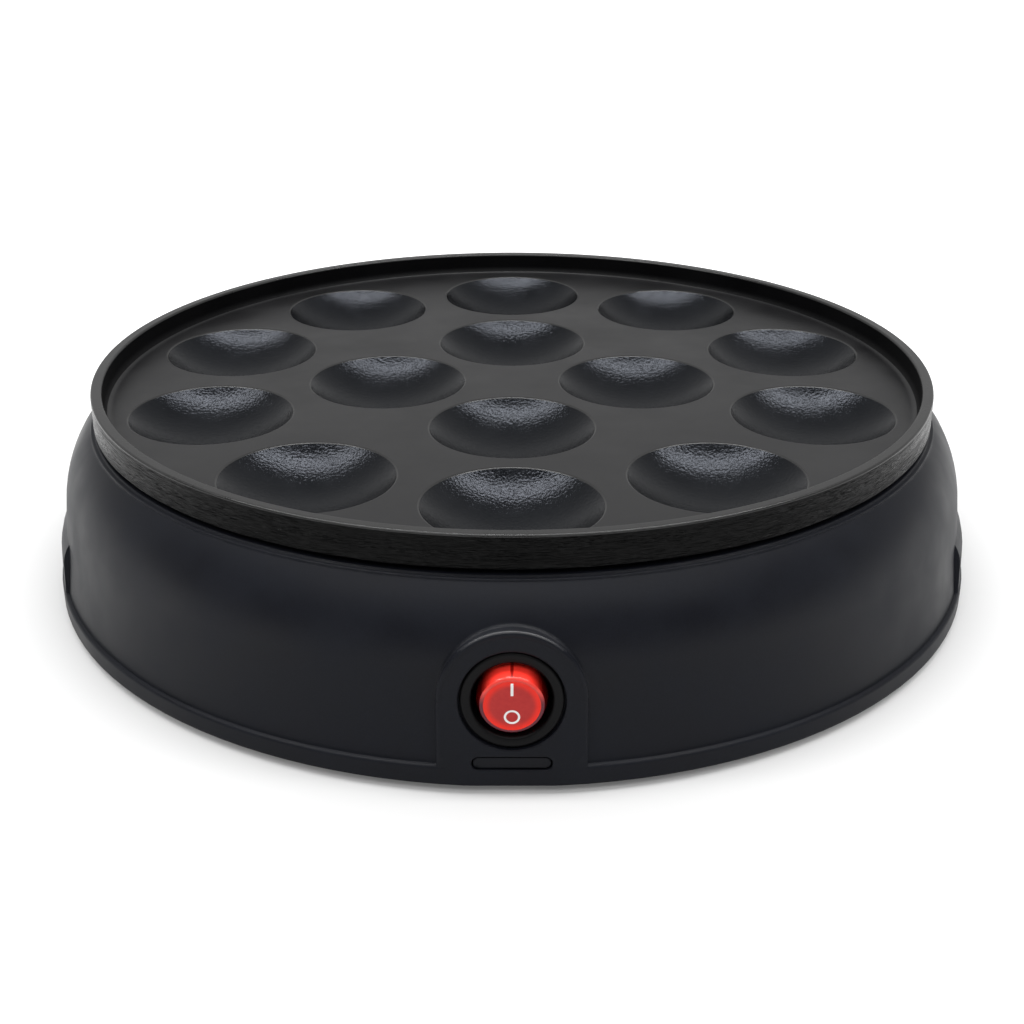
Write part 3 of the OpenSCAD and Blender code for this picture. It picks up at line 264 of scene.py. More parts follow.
# Pad-printed ink: a thin matt white.
sign_ink = grained("pad_printed_white_ink", "#e9e6e4", "#f6f4f2", 0.5, 0.3, 0.002)
print("rocker finishes ready")

# %% [markdown]
# ## Turning a profile with Geometry Nodes
# A cup, a rim and a rocker are all turned shapes: one profile swung round an axis. The tree takes the
# profile's points as a mesh, makes a grid with one column for each step of the turn, and moves every grid
# point to its profile point, turned by its column's angle. The same tree then serves every turned piece.

# %% The lathe tree
WELD = 1e-6
SEAM_WELD = 4e-6


def make_lathe():
    tree = bpy.data.node_groups.new("lathe", "GeometryNodeTree")
    tree.interface.new_socket("Profile", in_out="INPUT", socket_type="NodeSocketGeometry")
    tree.interface.new_socket("Steps", in_out="INPUT", socket_type="NodeSocketInt")
    tree.interface.new_socket("Finish", in_out="INPUT", socket_type="NodeSocketMaterial")
    tree.interface.new_socket("Turned", in_out="OUTPUT", socket_type="NodeSocketGeometry")
    given = add_node(tree, "NodeGroupInput").outputs
    size = add_node(tree, "GeometryNodeAttributeDomainSize", {0: given["Profile"]}).outputs["Point Count"]
    columns = add_node(tree, "ShaderNodeMath", {0: given["Steps"], 1: 1.0}, operation="ADD").outputs[0]
    grid = add_node(tree, "GeometryNodeMeshGrid", {"Vertices X": columns, "Vertices Y": size})
    index = add_node(tree, "GeometryNodeInputIndex").outputs[0]
    row = add_node(tree, "ShaderNodeMath", {0: index, 1: size}, operation="MODULO").outputs[0]
    share = add_node(tree, "ShaderNodeMath", {0: index, 1: size}, operation="DIVIDE").outputs[0]
    column = add_node(tree, "ShaderNodeMath", {0: share}, operation="FLOOR").outputs[0]
    part = add_node(tree, "ShaderNodeMath", {0: column, 1: given["Steps"]}, operation="DIVIDE").outputs[0]
    angle = add_node(tree, "ShaderNodeMath", {0: part, 1: math.tau}, operation="MULTIPLY").outputs[0]
    position = add_node(tree, "GeometryNodeInputPosition").outputs[0]
    sample = add_node(tree, "GeometryNodeSampleIndex",
                      {"Geometry": given["Profile"], "Value": position, "Index": row},
                      data_type="FLOAT_VECTOR").outputs[0]
    point = add_node(tree, "ShaderNodeSeparateXYZ", {0: sample}).outputs
    cosine = add_node(tree, "ShaderNodeMath", {0: angle}, operation="COSINE").outputs[0]
    sine = add_node(tree, "ShaderNodeMath", {0: angle}, operation="SINE").outputs[0]
    x = add_node(tree, "ShaderNodeMath", {0: point["X"], 1: cosine}, operation="MULTIPLY").outputs[0]
    y = add_node(tree, "ShaderNodeMath", {0: point["X"], 1: sine}, operation="MULTIPLY").outputs[0]
    turned = add_node(tree, "ShaderNodeCombineXYZ", {0: x, 1: y, 2: point["Z"]}).outputs[0]
    moved = add_node(tree, "GeometryNodeSetPosition", {"Geometry": grid.outputs["Mesh"], "Position": turned})
    closed = add_node(tree, "GeometryNodeMergeByDistance", {"Geometry": moved.outputs[0], "Distance": WELD})
    coated = add_node(tree, "GeometryNodeSetMaterial",
                      {"Geometry": closed.outputs[0], "Material": given["Finish"]})
    add_node(tree, "NodeGroupOutput", {0: coated.outputs[0]})
    return tree


def input_key(tree, name):
    return next(item.identifier for item in tree.interface.items_tree
                if item.item_type == "SOCKET" and item.in_out == "INPUT" and item.name == name)


def settled(holder):
    """The plain mesh of an object with its modifiers applied. The object itself goes."""
    graph = bpy.context.evaluated_depsgraph_get()
    mesh = bpy.data.meshes.new_from_object(holder.evaluated_get(graph), depsgraph=graph)
    bpy.data.objects.remove(holder)
    return mesh


def grown_mesh(name, start_mesh, tree, values):
    """The plain mesh that a geometry tree grows from a start mesh."""
    holder = bpy.data.objects.new(name, start_mesh)
    bpy.context.scene.collection.objects.link(holder)
    modifier = holder.modifiers.new(name, "NODES")
    modifier.node_group = tree
    for key, value in values.items():
        modifier[input_key(tree, key)] = value
    return settled(holder)


def one_finish(mesh, finish):
    mesh.materials.clear()
    mesh.materials.append(finish)
    for polygon in mesh.polygons:
        polygon.material_index = 0
    return mesh


def joined_mesh(name, meshes):
    """One mesh from several, welded where their edges meet, with the finishes of all of them."""
    work = bmesh.new()
    finishes = []
    for mesh in meshes:
        before = len(work.faces)
        work.from_mesh(mesh)
        work.faces.ensure_lookup_table()
        for face in work.faces[before:]:
            material = mesh.materials[face.material_index]
            if material not in finishes:
                finishes.append(material)
            face.material_index = finishes.index(material)
    bmesh.ops.remove_doubles(work, verts=work.verts, dist=SEAM_WELD)
    whole = bpy.data.meshes.new(name)
    work.to_mesh(whole)
    work.free()
    for material in finishes:
        whole.materials.append(material)
    return whole


lathe = make_lathe()


def turn(name, profile_mm, finish, steps):
    """A turned mesh. Its profile runs up the outside, in over the top and down the inside."""
    line = bpy.data.meshes.new(name + "_profile")
    points = [(r * MM, 0, z * MM) for r, z in profile_mm]
    line.from_pydata(points, [(i, i + 1) for i in range(len(points) - 1)], [])
    return one_finish(grown_mesh(name, line, lathe, {"Steps": steps, "Finish": finish}), finish)


def arc(cx, cz, radius, start, end, steps):
    """Points of a profile along an arc, from one angle in degrees to another."""
    angles = [math.radians(start + (end - start) * i / steps) for i in range(steps + 1)]
    return [(cx + radius * math.cos(a), cz + radius * math.sin(a)) for a in angles]


print("lathe tree has", len(lathe.nodes), "nodes")

# %% [markdown]
# ## The baking plate
# The cups are parts of a ball, 44 mm across and 9 mm deep, with a small rounded edge. A flat ring of 0.4 mm
# round each cup keeps the floor's shading flat up to the edge. The second tree sets the cup on two rings of
# points and fills the floor between them, so the rule of the plate - ten cups outside, four inside - is
# written down once. The rim is turned in four parts, because each has its own finish: the foot of the
# fillet, the inner wall, blacker with painted shade, the rounded top, a little lighter with a painted
# highlight, and the outer wall.

# %% Profiles of the cup and the rim
PLATE_R, RIM_W, RIM_H, RIM_DROP = 115.5, 3.0, 6.4, 2.1
FLOOR_Z, CUP_R, CUP_DEPTH, CUP_EDGE, FLAT_RING = 51.0, 22.0, 9.0, 0.9, 0.4
FILLET_R, FILLET_SPLIT, RIM_EDGE, RIM_LEDGE = 2.2, -52, 0.6, 1.2
ball_r = (CUP_R ** 2 + CUP_DEPTH ** 2) / (2 * CUP_DEPTH)
ball_rise = ball_r - CUP_DEPTH
edge_x = math.sqrt((ball_r + CUP_EDGE) ** 2 - (ball_rise + CUP_EDGE) ** 2)
lean = math.degrees(math.atan2(ball_rise + CUP_EDGE, -edge_x))
mouth_r = edge_x + FLAT_RING
edge_arc = arc(edge_x, FLOOR_Z - CUP_EDGE, CUP_EDGE, 90, lean, 6)
mouth_profile = [(mouth_r, FLOOR_Z)] + edge_arc[:3]
edge_profile = edge_arc[2:]
bowl_profile = arc(0, FLOOR_Z + ball_rise, ball_r, lean - 180, -90, 20)
bowl_profile[-1] = (0, FLOOR_Z - CUP_DEPTH)

rim_in, rim_top, wall_low = PLATE_R - RIM_W, FLOOR_Z + RIM_H, FLOOR_Z - RIM_DROP
fillet_x, fillet_z = rim_in - FILLET_R, FLOOR_Z + FILLET_R
floor_r = fillet_x - FLAT_RING
fillet_profile = [(floor_r, FLOOR_Z)] + arc(fillet_x, fillet_z, FILLET_R, -90, FILLET_SPLIT, 4)
tray_profile = arc(fillet_x, fillet_z, FILLET_R, FILLET_SPLIT, 0, 5) + [(rim_in, rim_top - RIM_EDGE)]
rim_profile = arc(rim_in + RIM_EDGE, rim_top - RIM_EDGE, RIM_EDGE, 180, 90, 5)
rim_profile += arc(PLATE_R - RIM_EDGE, rim_top - RIM_EDGE, RIM_EDGE, 90, 0, 5)
wall_profile = [(PLATE_R, rim_top - RIM_EDGE)]
wall_profile += arc(PLATE_R - RIM_EDGE, wall_low + RIM_EDGE, RIM_EDGE, 0, -90, 5)
wall_profile += [(rim_in - RIM_LEDGE, wall_low)]
print("cup ball", round(ball_r, 2), "mm; mouth", round(mouth_r, 2), "mm")

# %% The tree that sets the cups
def make_cup_rings():
    tree = bpy.data.node_groups.new("cups_on_rings", "GeometryNodeTree")
    tree.interface.new_socket("Cup", in_out="INPUT", socket_type="NodeSocketGeometry")
    for name in ("Outer ring", "Inner ring", "Mouth", "Floor", "Height"):
        tree.interface.new_socket(name, in_out="INPUT", socket_type="NodeSocketFloat")
    for name in ("Outer cups", "Inner cups", "Steps", "Floor steps"):
        tree.interface.new_socket(name, in_out="INPUT", socket_type="NodeSocketInt")
    tree.interface.new_socket("Finish", in_out="INPUT", socket_type="NodeSocketMaterial")
    tree.interface.new_socket("Plate", in_out="OUTPUT", socket_type="NodeSocketGeometry")
    given = add_node(tree, "NodeGroupInput").outputs
    rings = []
    for ring in ("Outer", "Inner"):
        circle = add_node(tree, "GeometryNodeMeshCircle",
                          {"Vertices": given[ring + " cups"], "Radius": given[ring + " ring"]})
        front = add_node(tree, "GeometryNodeTransform",
                         {"Geometry": circle.outputs[0], "Rotation": (0, 0, math.radians(-90))})
        rings.append(front.outputs[0])
    points = add_node(tree, "GeometryNodeJoinGeometry", {0: rings[0]})
    tree.links.new(rings[1], points.inputs[0])
    cups = add_node(tree, "GeometryNodeInstanceOnPoints",
                    {"Points": points.outputs[0], "Instance": given["Cup"]})
    mouth = add_node(tree, "GeometryNodeCurvePrimitiveCircle",
                     {"Resolution": given["Steps"], "Radius": given["Mouth"]})
    mouths = add_node(tree, "GeometryNodeInstanceOnPoints",
                      {"Points": points.outputs[0], "Instance": mouth.outputs[0]})
    holes = add_node(tree, "GeometryNodeRealizeInstances", {0: mouths.outputs[0]})
    rim = add_node(tree, "GeometryNodeCurvePrimitiveCircle",
                   {"Resolution": given["Floor steps"], "Radius": given["Floor"]})
    outline = add_node(tree, "GeometryNodeJoinGeometry", {0: holes.outputs[0]})
    tree.links.new(rim.outputs[0], outline.inputs[0])
    filled = add_node(tree, "GeometryNodeFillCurve", {0: outline.outputs[0]})
    raised_by = add_node(tree, "ShaderNodeCombineXYZ", {2: given["Height"]}).outputs[0]
    raised = add_node(tree, "GeometryNodeTransform",
                      {"Geometry": filled.outputs[0], "Translation": raised_by})
    coated = add_node(tree, "GeometryNodeSetMaterial",
                      {"Geometry": raised.outputs[0], "Material": given["Finish"]})
    joined = add_node(tree, "GeometryNodeJoinGeometry", {0: cups.outputs[0]})
    tree.links.new(coated.outputs[0], joined.inputs[0])
    real = add_node(tree, "GeometryNodeRealizeInstances", {0: joined.outputs[0]})
    merged = add_node(tree, "GeometryNodeMergeByDistance",
                      {"Geometry": real.outputs[0], "Distance": SEAM_WELD})
    add_node(tree, "NodeGroupOutput", {0: merged.outputs[0]})
    return tree


OUTER_CUPS, INNER_CUPS, OUTER_RING_R, INNER_RING_R = 10, 4, 84.8, 35.2
cup_steps, plate_steps, boss_steps, rocker_steps, sign_steps = 96, 256, 128, 144, 48
cup_mesh = joined_mesh("cup", [turn("cup_mouth", mouth_profile, floor_coat, cup_steps),
                               turn("cup_edge", edge_profile, edge_coat_painted_highlight, cup_steps),
                               turn("cup_bowl", bowl_profile, cup_coat, cup_steps)])
cup_rings = make_cup_rings()
floor_mesh = grown_mesh("plate_floor", cup_mesh, cup_rings, {
    "Outer ring": OUTER_RING_R * MM, "Inner ring": INNER_RING_R * MM, "Mouth": mouth_r * MM,
    "Floor": floor_r * MM, "Height": FLOOR_Z * MM, "Outer cups": OUTER_CUPS, "Inner cups": INNER_CUPS,
    "Steps": cup_steps, "Floor steps": plate_steps, "Finish": floor_coat})
print("plate floor with cups:", len(floor_mesh.polygons), "faces")

# %% [markdown]
# ## From meshes to pieces
# A CAD node arrives as loose triangles. A merged copy of it can be shaded smooth, with sharp edges where
# the real piece has them. Pieces that are made here join their meshes first, and then ride on the body that
# the CAD node belongs to, in place of that node. Where a turned mesh meets a CAD one, the two rings of
# points have different steps, so a thin strip of triangles zips them together and the skin stays closed.

# %% Smoothing, zipping and placing
SAME_WAY, NODE_WELD, RING_SLACK_R, RING_SLACK_Z = 0.9999, 2e-6, 0.1, 0.02


def smooth(mesh, sharp_deg=32, flat=None):
    """Smooth shading with sharp edges, where large faces keep their own normal beside small roundings.
    Faces that look along flat stay wholly flat."""
    mesh.shade_smooth()
    mesh.set_sharp_from_angle(angle=math.radians(sharp_deg))
    if flat:
        sides = {}
        for polygon in mesh.polygons:
            for key in polygon.edge_keys:
                sides.setdefault(key, set()).add(polygon.normal.dot(flat) > SAME_WAY)
        for edge in mesh.edges:
            if len(sides[edge.key]) > 1:
                edge.use_edge_sharp = True
    holder = bpy.data.objects.new(mesh.name, mesh)
    bpy.context.scene.collection.objects.link(holder)
    weighted = holder.modifiers.new("weighted", "WEIGHTED_NORMAL")
    weighted.keep_sharp = True
    return settled(holder)


def merged_copy(node, finish, keep=None):
    """The node's triangles, merged, with only the faces that keep() wants."""
    work = bmesh.new()
    work.from_mesh(frame["nodes"][node].data)
    bmesh.ops.remove_doubles(work, verts=work.verts, dist=NODE_WELD)
    if keep:
        gone = [f for f in work.faces if not keep(f)]
        bmesh.ops.delete(work, geom=gone, context="FACES")
    mesh = bpy.data.meshes.new(node + "_copy")
    work.to_mesh(mesh)
    work.free()
    return one_finish(mesh, finish)


def open_ring(mesh, radius_mm, height_mm):
    """The points of a mesh's open ring at a radius and a height, in order round the axis."""
    uses = {}
    for polygon in mesh.polygons:
        for key in polygon.edge_keys:
            uses[key] = uses.get(key, 0) + 1
    open_ends = {i for key in uses if uses[key] == 1 for i in key}
    points = [mesh.vertices[i].co.copy() for i in open_ends]
    points = [p for p in points if abs(p.z / MM - height_mm) < RING_SLACK_Z]
    points = [p for p in points if abs(p.xy.length / MM - radius_mm) < RING_SLACK_R]
    return sorted(points, key=lambda p: math.atan2(p.y, p.x))


def zipped(name, first, second, finish):
    """The strip that closes the hairline between two open rings with different steps. It runs round the
    first ring anticlockwise, seen from above."""
    def turned(ring, i):
        rounds, k = divmod(i, len(ring))
        return math.atan2(ring[k].y, ring[k].x) + rounds * math.tau

    triangles = []
    i = j = 0
    while i < len(first) or j < len(second):
        here, there = i % len(first), len(first) + j % len(second)
        if j == len(second) or (i < len(first) and turned(first, i + 1) <= turned(second, j + 1)):
            i += 1
            triangles.append((here, i % len(first), there))
        else:
            j += 1
            triangles.append((here, len(first) + j % len(second), there))
    strip = bpy.data.meshes.new(name)
    strip.from_pydata(first + second, [], triangles)
    return one_finish(strip, finish)


body_of = {node: body for body, nodes in frame["record"]["behaviour"]["bodies"].items() for node in nodes}


def place(name, mesh, node, stands_for=True):
    """Makes a mesh a piece on the body of a CAD node, which it may stand for: that node is then hidden."""
    piece = bpy.data.objects.new(name, mesh)
    bpy.context.scene.collection.objects.link(piece)
    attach(piece, body_of[node])
    if stands_for:
        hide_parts(node)


# %% [markdown]
# The plate's underside comes from its CAD node. Everything that the turned parts show is left out of it:
# the floor, the rim and the bowls. The ends of the blind screw holes lie high up inside the plate, and
# stay.

# %% Plate piece
BLIND_HOLES_R, HOLE_END_BELOW_FLOOR, BOWL_R = 100, 1, 23
UNDER_RIM_SLACK, LOOKS_DOWN, LOOKS_UP = 0.05, -0.9, 0.3
cup_centres = []
for count, ring_r in ((OUTER_CUPS, OUTER_RING_R), (INNER_CUPS, INNER_RING_R)):
    for k in range(count):
        angle = math.radians(360 / count * k - 90)
        cup_centres.append((ring_r * MM * math.cos(angle), ring_r * MM * math.sin(angle)))


def under_plate(face):
    centre = face.calc_center_median()
    if centre.z > (wall_low - UNDER_RIM_SLACK) * MM:
        in_hole = centre.xy.length < BLIND_HOLES_R * MM and centre.z < (FLOOR_Z - HOLE_END_BELOW_FLOOR) * MM
        return in_hole and face.normal.z < LOOKS_DOWN
    in_cup = any(math.hypot(centre.x - x, centre.y - y) < BOWL_R * MM for x, y in cup_centres)
    return not (in_cup and face.normal.z > LOOKS_UP)


fillet_mesh = turn("tray_fillet", fillet_profile[::-1], floor_coat, plate_steps)
tray_mesh = turn("tray_wall", tray_profile[::-1], wall_coat_painted_shade, plate_steps)
rim_mesh = turn("rim", rim_profile[::-1], edge_coat_painted_highlight, plate_steps)
wall_mesh = turn("rim_wall", wall_profile[::-1], rim_turned, plate_steps)
under_mesh = merged_copy("baking_plate", floor_coat, under_plate)
plate_parts = [floor_mesh, fillet_mesh, tray_mesh, rim_mesh, wall_mesh]
for mesh in plate_parts:
    up = sum(p.normal.z * p.area for p in mesh.polygons)
    print(mesh.name, "faces", len(mesh.polygons), "upward area", round(up * 1e6), "mm2")
low_rings = [open_ring(mesh, *wall_profile[-1]) for mesh in (under_mesh, wall_mesh)]
print("steps of the two rings under the rim", [len(ring) for ring in low_rings])
plate_parts += [under_mesh, zipped("low_strip", *low_rings, floor_coat)]
place("plate_with_cups", smooth(joined_mesh("plate_with_cups", plate_parts)), "baking_plate")

# %% [markdown]
# ## Housing, base and switch
# The housing's shape is right in the CAD model: a leaning wall that rounds over into the shoulder, a foot
# band, two low hand grips and the arched boss. It needs a smooth skin, a finer round top on the boss, and a
# lip whose two beads have rounded edges: they are the fine light lines under the plate's rim. The boss's
# new top is a closed half ring that lies a few micrometres over the CAD one. Its outer wall and its front
# edge have finishes of their own, because the light shows them so clearly.

# %% Housing with its beaded lip
LIP_TOP, SHOULDER_TOP, SHOULDER_END_R, OPENING_R = 47.7, 46.7, 116.45, 111.9
BEAD_R, BEAD_EDGE = 116.4, 0.2
half_bead = (LIP_TOP + SHOULDER_TOP) / 2
lip_profile = [(OPENING_R, LIP_TOP)] + arc(PLATE_R - BEAD_EDGE, LIP_TOP - BEAD_EDGE, BEAD_EDGE, 90, 0, 4)
lip_profile += [(PLATE_R, half_bead)] + arc(BEAD_R - BEAD_EDGE, half_bead - BEAD_EDGE, BEAD_EDGE, 90, 0, 4)
lip_profile += [(BEAD_R, SHOULDER_TOP), (SHOULDER_END_R, SHOULDER_TOP)]


def below_lip(face):
    return min(v.co.z for v in face.verts) < (SHOULDER_TOP - RING_SLACK_Z) * MM


SWITCH_Y, SWITCH_Z = -126.4787, 22.6
BOSS_LEAN, BOSS_R, BOSS_EDGE, BOSS_REACH, BOSS_SKIN = 4.5, 16.7, 0.8, 4.4, 0.35
COVER, FACE_RING, CREST_FROM, UPRIGHT, LEVEL = 0.006, 0.4, 0.72, 0.05, 0.95
to_switch = Matrix.Translation((0, SWITCH_Y * MM, SWITCH_Z * MM)) @ Matrix.Rotation(
    math.radians(90 - BOSS_LEAN), 4, "X")
boss_out = to_switch.to_3x3() @ Vector((0, 0, 1))
boss_in = BOSS_R - BOSS_EDGE - FACE_RING
boss_profile = [(BOSS_R + COVER, -BOSS_REACH)]
boss_profile += arc(BOSS_R - BOSS_EDGE + COVER, COVER - BOSS_EDGE, BOSS_EDGE, 0, 90, 8)
boss_profile += [(boss_in, COVER), (boss_in, -BOSS_SKIN), (BOSS_R - BOSS_SKIN, -BOSS_EDGE - BOSS_SKIN),
                 (BOSS_R - BOSS_SKIN, -BOSS_REACH), (BOSS_R + COVER, -BOSS_REACH)]
arch = bmesh.new()
arch.from_mesh(turn("boss_top", boss_profile, housing_abs, boss_steps))
lower_half = [f for f in arch.faces if f.calc_center_median().y < 0]
bmesh.ops.delete(arch, geom=lower_half, context="FACES")
bmesh.ops.holes_fill(arch, edges=[e for e in arch.edges if e.is_boundary])
boss_mesh = bpy.data.meshes.new("boss_arch")
arch.to_mesh(boss_mesh)
arch.free()
one_finish(boss_mesh, housing_abs)
boss_mesh.materials.append(arch_abs)
boss_mesh.materials.append(crest_abs)
for polygon in boss_mesh.polygons:
    outermost = polygon.center.xy.length > (BOSS_R - BOSS_SKIN / 2) * MM
    if abs(polygon.normal.z) < UPRIGHT and outermost:
        polygon.material_index = 1
    elif UPRIGHT < polygon.normal.z < LEVEL and polygon.center.y > CREST_FROM * BOSS_R * MM:
        polygon.material_index = 2
boss_mesh.transform(to_switch)
lip_mesh = turn("lip", lip_profile[::-1], housing_abs, plate_steps)
shell_mesh = merged_copy("housing", housing_abs, below_lip)
inner_rings = [open_ring(mesh, *lip_profile[0]) for mesh in (lip_mesh, shell_mesh)]
outer_rings = [open_ring(mesh, *lip_profile[-1]) for mesh in (shell_mesh, lip_mesh)]
print("steps of the lip's rings", [len(ring) for ring in inner_rings + outer_rings])
skin_parts = [shell_mesh, lip_mesh, boss_mesh, zipped("inner_strip", *inner_rings, housing_abs),
              zipped("outer_strip", *outer_rings, housing_abs)]
skin_mesh = smooth(joined_mesh("housing_skin", skin_parts), flat=boss_out)
print("lip upward area", round(sum(p.normal.z * p.area for p in lip_mesh.polygons) * 1e6), "mm2")

# %% [markdown]
# Long thin triangles beside the boss would leave smudges of light on the wall. The wall is a turned shape,
# so its true normal is known at every point: straight out on the foot band, round its edge, square to the
# cone, and away from the middle of the arc on the shoulder. Corners that lie on one of these get that
# normal.

# %% True normals on the turned wall
BAND_R, BAND_TOP, BAND_EDGE, CONE_R, CONE_LEAN = 128.5, 6.7, 0.8, 127.2, math.radians(6.2)
SHOULDER_R, ARC_X, ARC_Z, ARC_START = 30.0, 94.9515, 25.772, 3
ON_WALL, FACES_ALIKE = 0.02, 0.97


def wall_normals(r, z):
    """The true normals (out, up) of the wall surfaces that pass through a point of its profile."""
    found = []
    if abs(r - BAND_R) < ON_WALL and z < BAND_TOP - BAND_EDGE + ON_WALL:
        found.append((1.0, 0.0))
    dx, dz = r - (BAND_R - BAND_EDGE), z - (BAND_TOP - BAND_EDGE)
    if dx > -ON_WALL and dz > -ON_WALL and abs(math.hypot(dx, dz) - BAND_EDGE) < ON_WALL:
        found.append((dx / BAND_EDGE, dz / BAND_EDGE))
    if abs(r - CONE_R + (z - BAND_TOP) * math.tan(CONE_LEAN)) < ON_WALL:
        found.append((math.cos(CONE_LEAN), math.sin(CONE_LEAN)))
    dx, dz = r - ARC_X, z - ARC_Z
    if dz > ARC_START and abs(math.hypot(dx, dz) - SHOULDER_R) < ON_WALL:
        found.append((dx / SHOULDER_R, dz / SHOULDER_R))
    return found


corner_normals = [corner.vector.copy() for corner in skin_mesh.corner_normals]
mended = 0
for polygon in skin_mesh.polygons:
    for loop_index in polygon.loop_indices:
        point = skin_mesh.vertices[skin_mesh.loops[loop_index].vertex_index].co
        side = point.xy.normalized()
        for outward, upward in wall_normals(point.xy.length / MM, point.z / MM):
            true_normal = Vector((side.x * outward, side.y * outward, upward)).normalized()
            if true_normal.dot(polygon.normal) > FACES_ALIKE:
                corner_normals[loop_index] = true_normal
                mended += 1
skin_mesh.normals_split_custom_set(corner_normals)
place("housing_skin", skin_mesh, "housing")
print("corners with the wall's true normal", mended)

# %% [markdown]
# The base cover, the switch's body, the gland and the feet have the right shape in CAD, and are only shaded
# smooth. The inner pieces keep their CAD meshes, whose slots take the finishes from above.

# %% Smooth copies
for node, finish in (("base_cover", cover_abs), ("switch_body", switch_nylon),
                     ("cord_gland", gland_nylon), ("foot_front_left", foot_rubber),
                     ("foot_front_right", foot_rubber), ("foot_rear_left", foot_rubber),
                     ("foot_rear_right", foot_rubber)):
    place(node + "_skin", smooth(merged_copy(node, finish)), node)
for node, finish in inner_finish.items():
    node_slots = frame["nodes"][node].data.materials
    for i in range(len(node_slots)):
        node_slots[i] = finish
print("smooth copies made")

# %% [markdown]
# ## The rocker
# The cap is one moulding: a skirt that goes down into the switch, a clear rounded rim, a frosted face and a
# hollow below. Each is a turned profile. Skirt and hollow are polished alike and share the painted glow and
# shade, and a thin dark red strip runs over the top of the skirt. Off is pressed in at rest, so the cap
# leans by 7 degrees, which is half of its travel, about the pins that it tilts on. The bar and the ring are
# printed.
# They are made as thin solids of ink that ride on the same body.

# %% Rocker
PIVOT, REST_TILT = -3.2, 7
at_rest = Matrix.Rotation(math.radians(REST_TILT), 4, "X")
to_rocker = (to_switch @ Matrix.Translation((0, 0, PIVOT * MM)) @ at_rest
             @ Matrix.Translation((0, 0, -PIVOT * MM)))
FACE_Z, FACE_R, BASE_R, LOW, RIM_STEP = 1.0, 7.25, 7.85, -5.6, 0.95
CAP_EDGE, CAP_WALL, SKIRT_TOP, HOLLOW_EDGE = 0.8, 1.6, -1.4, 0.3
FACE_DIP, DIP_SLOPE, FACE_RINGS = 0.06, 0.1, 10
edge_centre = (FACE_R - CAP_EDGE, FACE_Z - CAP_EDGE)
inner_r, inner_z = BASE_R - CAP_WALL, FACE_Z - CAP_WALL
skirt = [(inner_r, LOW), (BASE_R, LOW), (BASE_R, SKIRT_TOP)] + arc(*edge_centre, CAP_EDGE, 4, 30, 3)
clear_rim = arc(*edge_centre, CAP_EDGE, 30, 90, 6) + [(FACE_R - RIM_STEP, FACE_Z)]
face_r = FACE_R - RIM_STEP - DIP_SLOPE
satin = [(FACE_R - RIM_STEP, FACE_Z), (face_r, FACE_Z - FACE_DIP)]
satin += [(face_r * k / FACE_RINGS, FACE_Z - FACE_DIP) for k in reversed(range(FACE_RINGS))]
hollow = [(0, inner_z), (inner_r - HOLLOW_EDGE, inner_z), (inner_r, inner_z - HOLLOW_EDGE), (inner_r, LOW)]
skirt_mesh = turn("rocker_skirt", skirt, rocker_red_painted_glow_and_shade, rocker_steps)
skirt_mesh.materials.append(rocker_dark_strip)
DARK_STRIP_FROM, DARK_STRIP_HALF = 7, 0.3
for polygon in skirt_mesh.polygons:
    if polygon.center.y > DARK_STRIP_FROM * MM and abs(polygon.center.x) < DARK_STRIP_HALF * MM:
        polygon.material_index = 1
rocker_mesh = joined_mesh("rocker", [skirt_mesh, turn("rocker_rim_painted_light", clear_rim, rocker_rim_painted_light, rocker_steps),
                                     turn("rocker_face", satin, rocker_satin_painted_glow, rocker_steps),
                                     turn("rocker_hollow", hollow, rocker_red_painted_glow_and_shade, rocker_steps)])
# The numbers that steer the rocker's painted glow, highlight and shade.
for name, measure in (("reach", lambda p: p.xy.length / face_r), ("limb", lambda p: abs(p.x) / BASE_R),
                      ("under", lambda p: -p.y / FACE_R)):
    numbers = rocker_mesh.attributes.new(name, "FLOAT", "POINT")
    for vertex in rocker_mesh.vertices:
        numbers.data[vertex.index].value = measure(vertex.co / MM)
rocker_mesh.transform(to_rocker)
place("rocker_cap", smooth(rocker_mesh, 40), "switch_rocker")


def rectangle_sign(width, height, thick):
    """A flat bar with rounded corners, as a thin solid that stands on z = 0."""
    outline = []
    corner = 0.12
    for cx, cy, start in ((1, 1, 0), (-1, 1, 90), (-1, -1, 180), (1, -1, 270)):
        outline += arc(cx * (width / 2 - corner), cy * (height / 2 - corner), corner, start, start + 90, 4)
    count = len(outline)
    points = [(x * MM, y * MM, z * MM) for z in (0, thick) for x, y in outline]
    faces = [tuple(reversed(range(count))), tuple(range(count, 2 * count))]
    for i in range(count):
        after = (i + 1) % count
        faces.append((i, after, count + after, count + i))
    mesh = bpy.data.meshes.new("sign_bar")
    mesh.from_pydata(points, [], faces)
    return one_finish(mesh, sign_ink)


# The ink starts 0.04 mm below the frosted face, so that no gap can show under it.
INK, SIGN_Z = 0.07, FACE_Z - FACE_DIP - 0.04
BAR_WIDTH, BAR_HEIGHT, BAR_Y, RING_Y, RING_IN, RING_OUT = 0.6, 3.2, 4.15, -2.9, 1.3, 1.78
bar_sign = rectangle_sign(BAR_WIDTH, BAR_HEIGHT, INK)
bar_sign.transform(Matrix.Translation((0, BAR_Y * MM, SIGN_Z * MM)))
ring_profile = [(RING_IN, 0), (RING_OUT, 0), (RING_OUT, INK), (RING_IN, INK), (RING_IN, 0)]
ring_sign = turn("sign_ring", ring_profile, sign_ink, sign_steps)
ring_sign.transform(Matrix.Translation((0, RING_Y * MM, SIGN_Z * MM)))
signs = joined_mesh("rocker_signs", [bar_sign, ring_sign])
signs.transform(to_rocker)
place("rocker_signs", smooth(signs), "switch_rocker", stands_for=False)
print("rocker and its two signs")

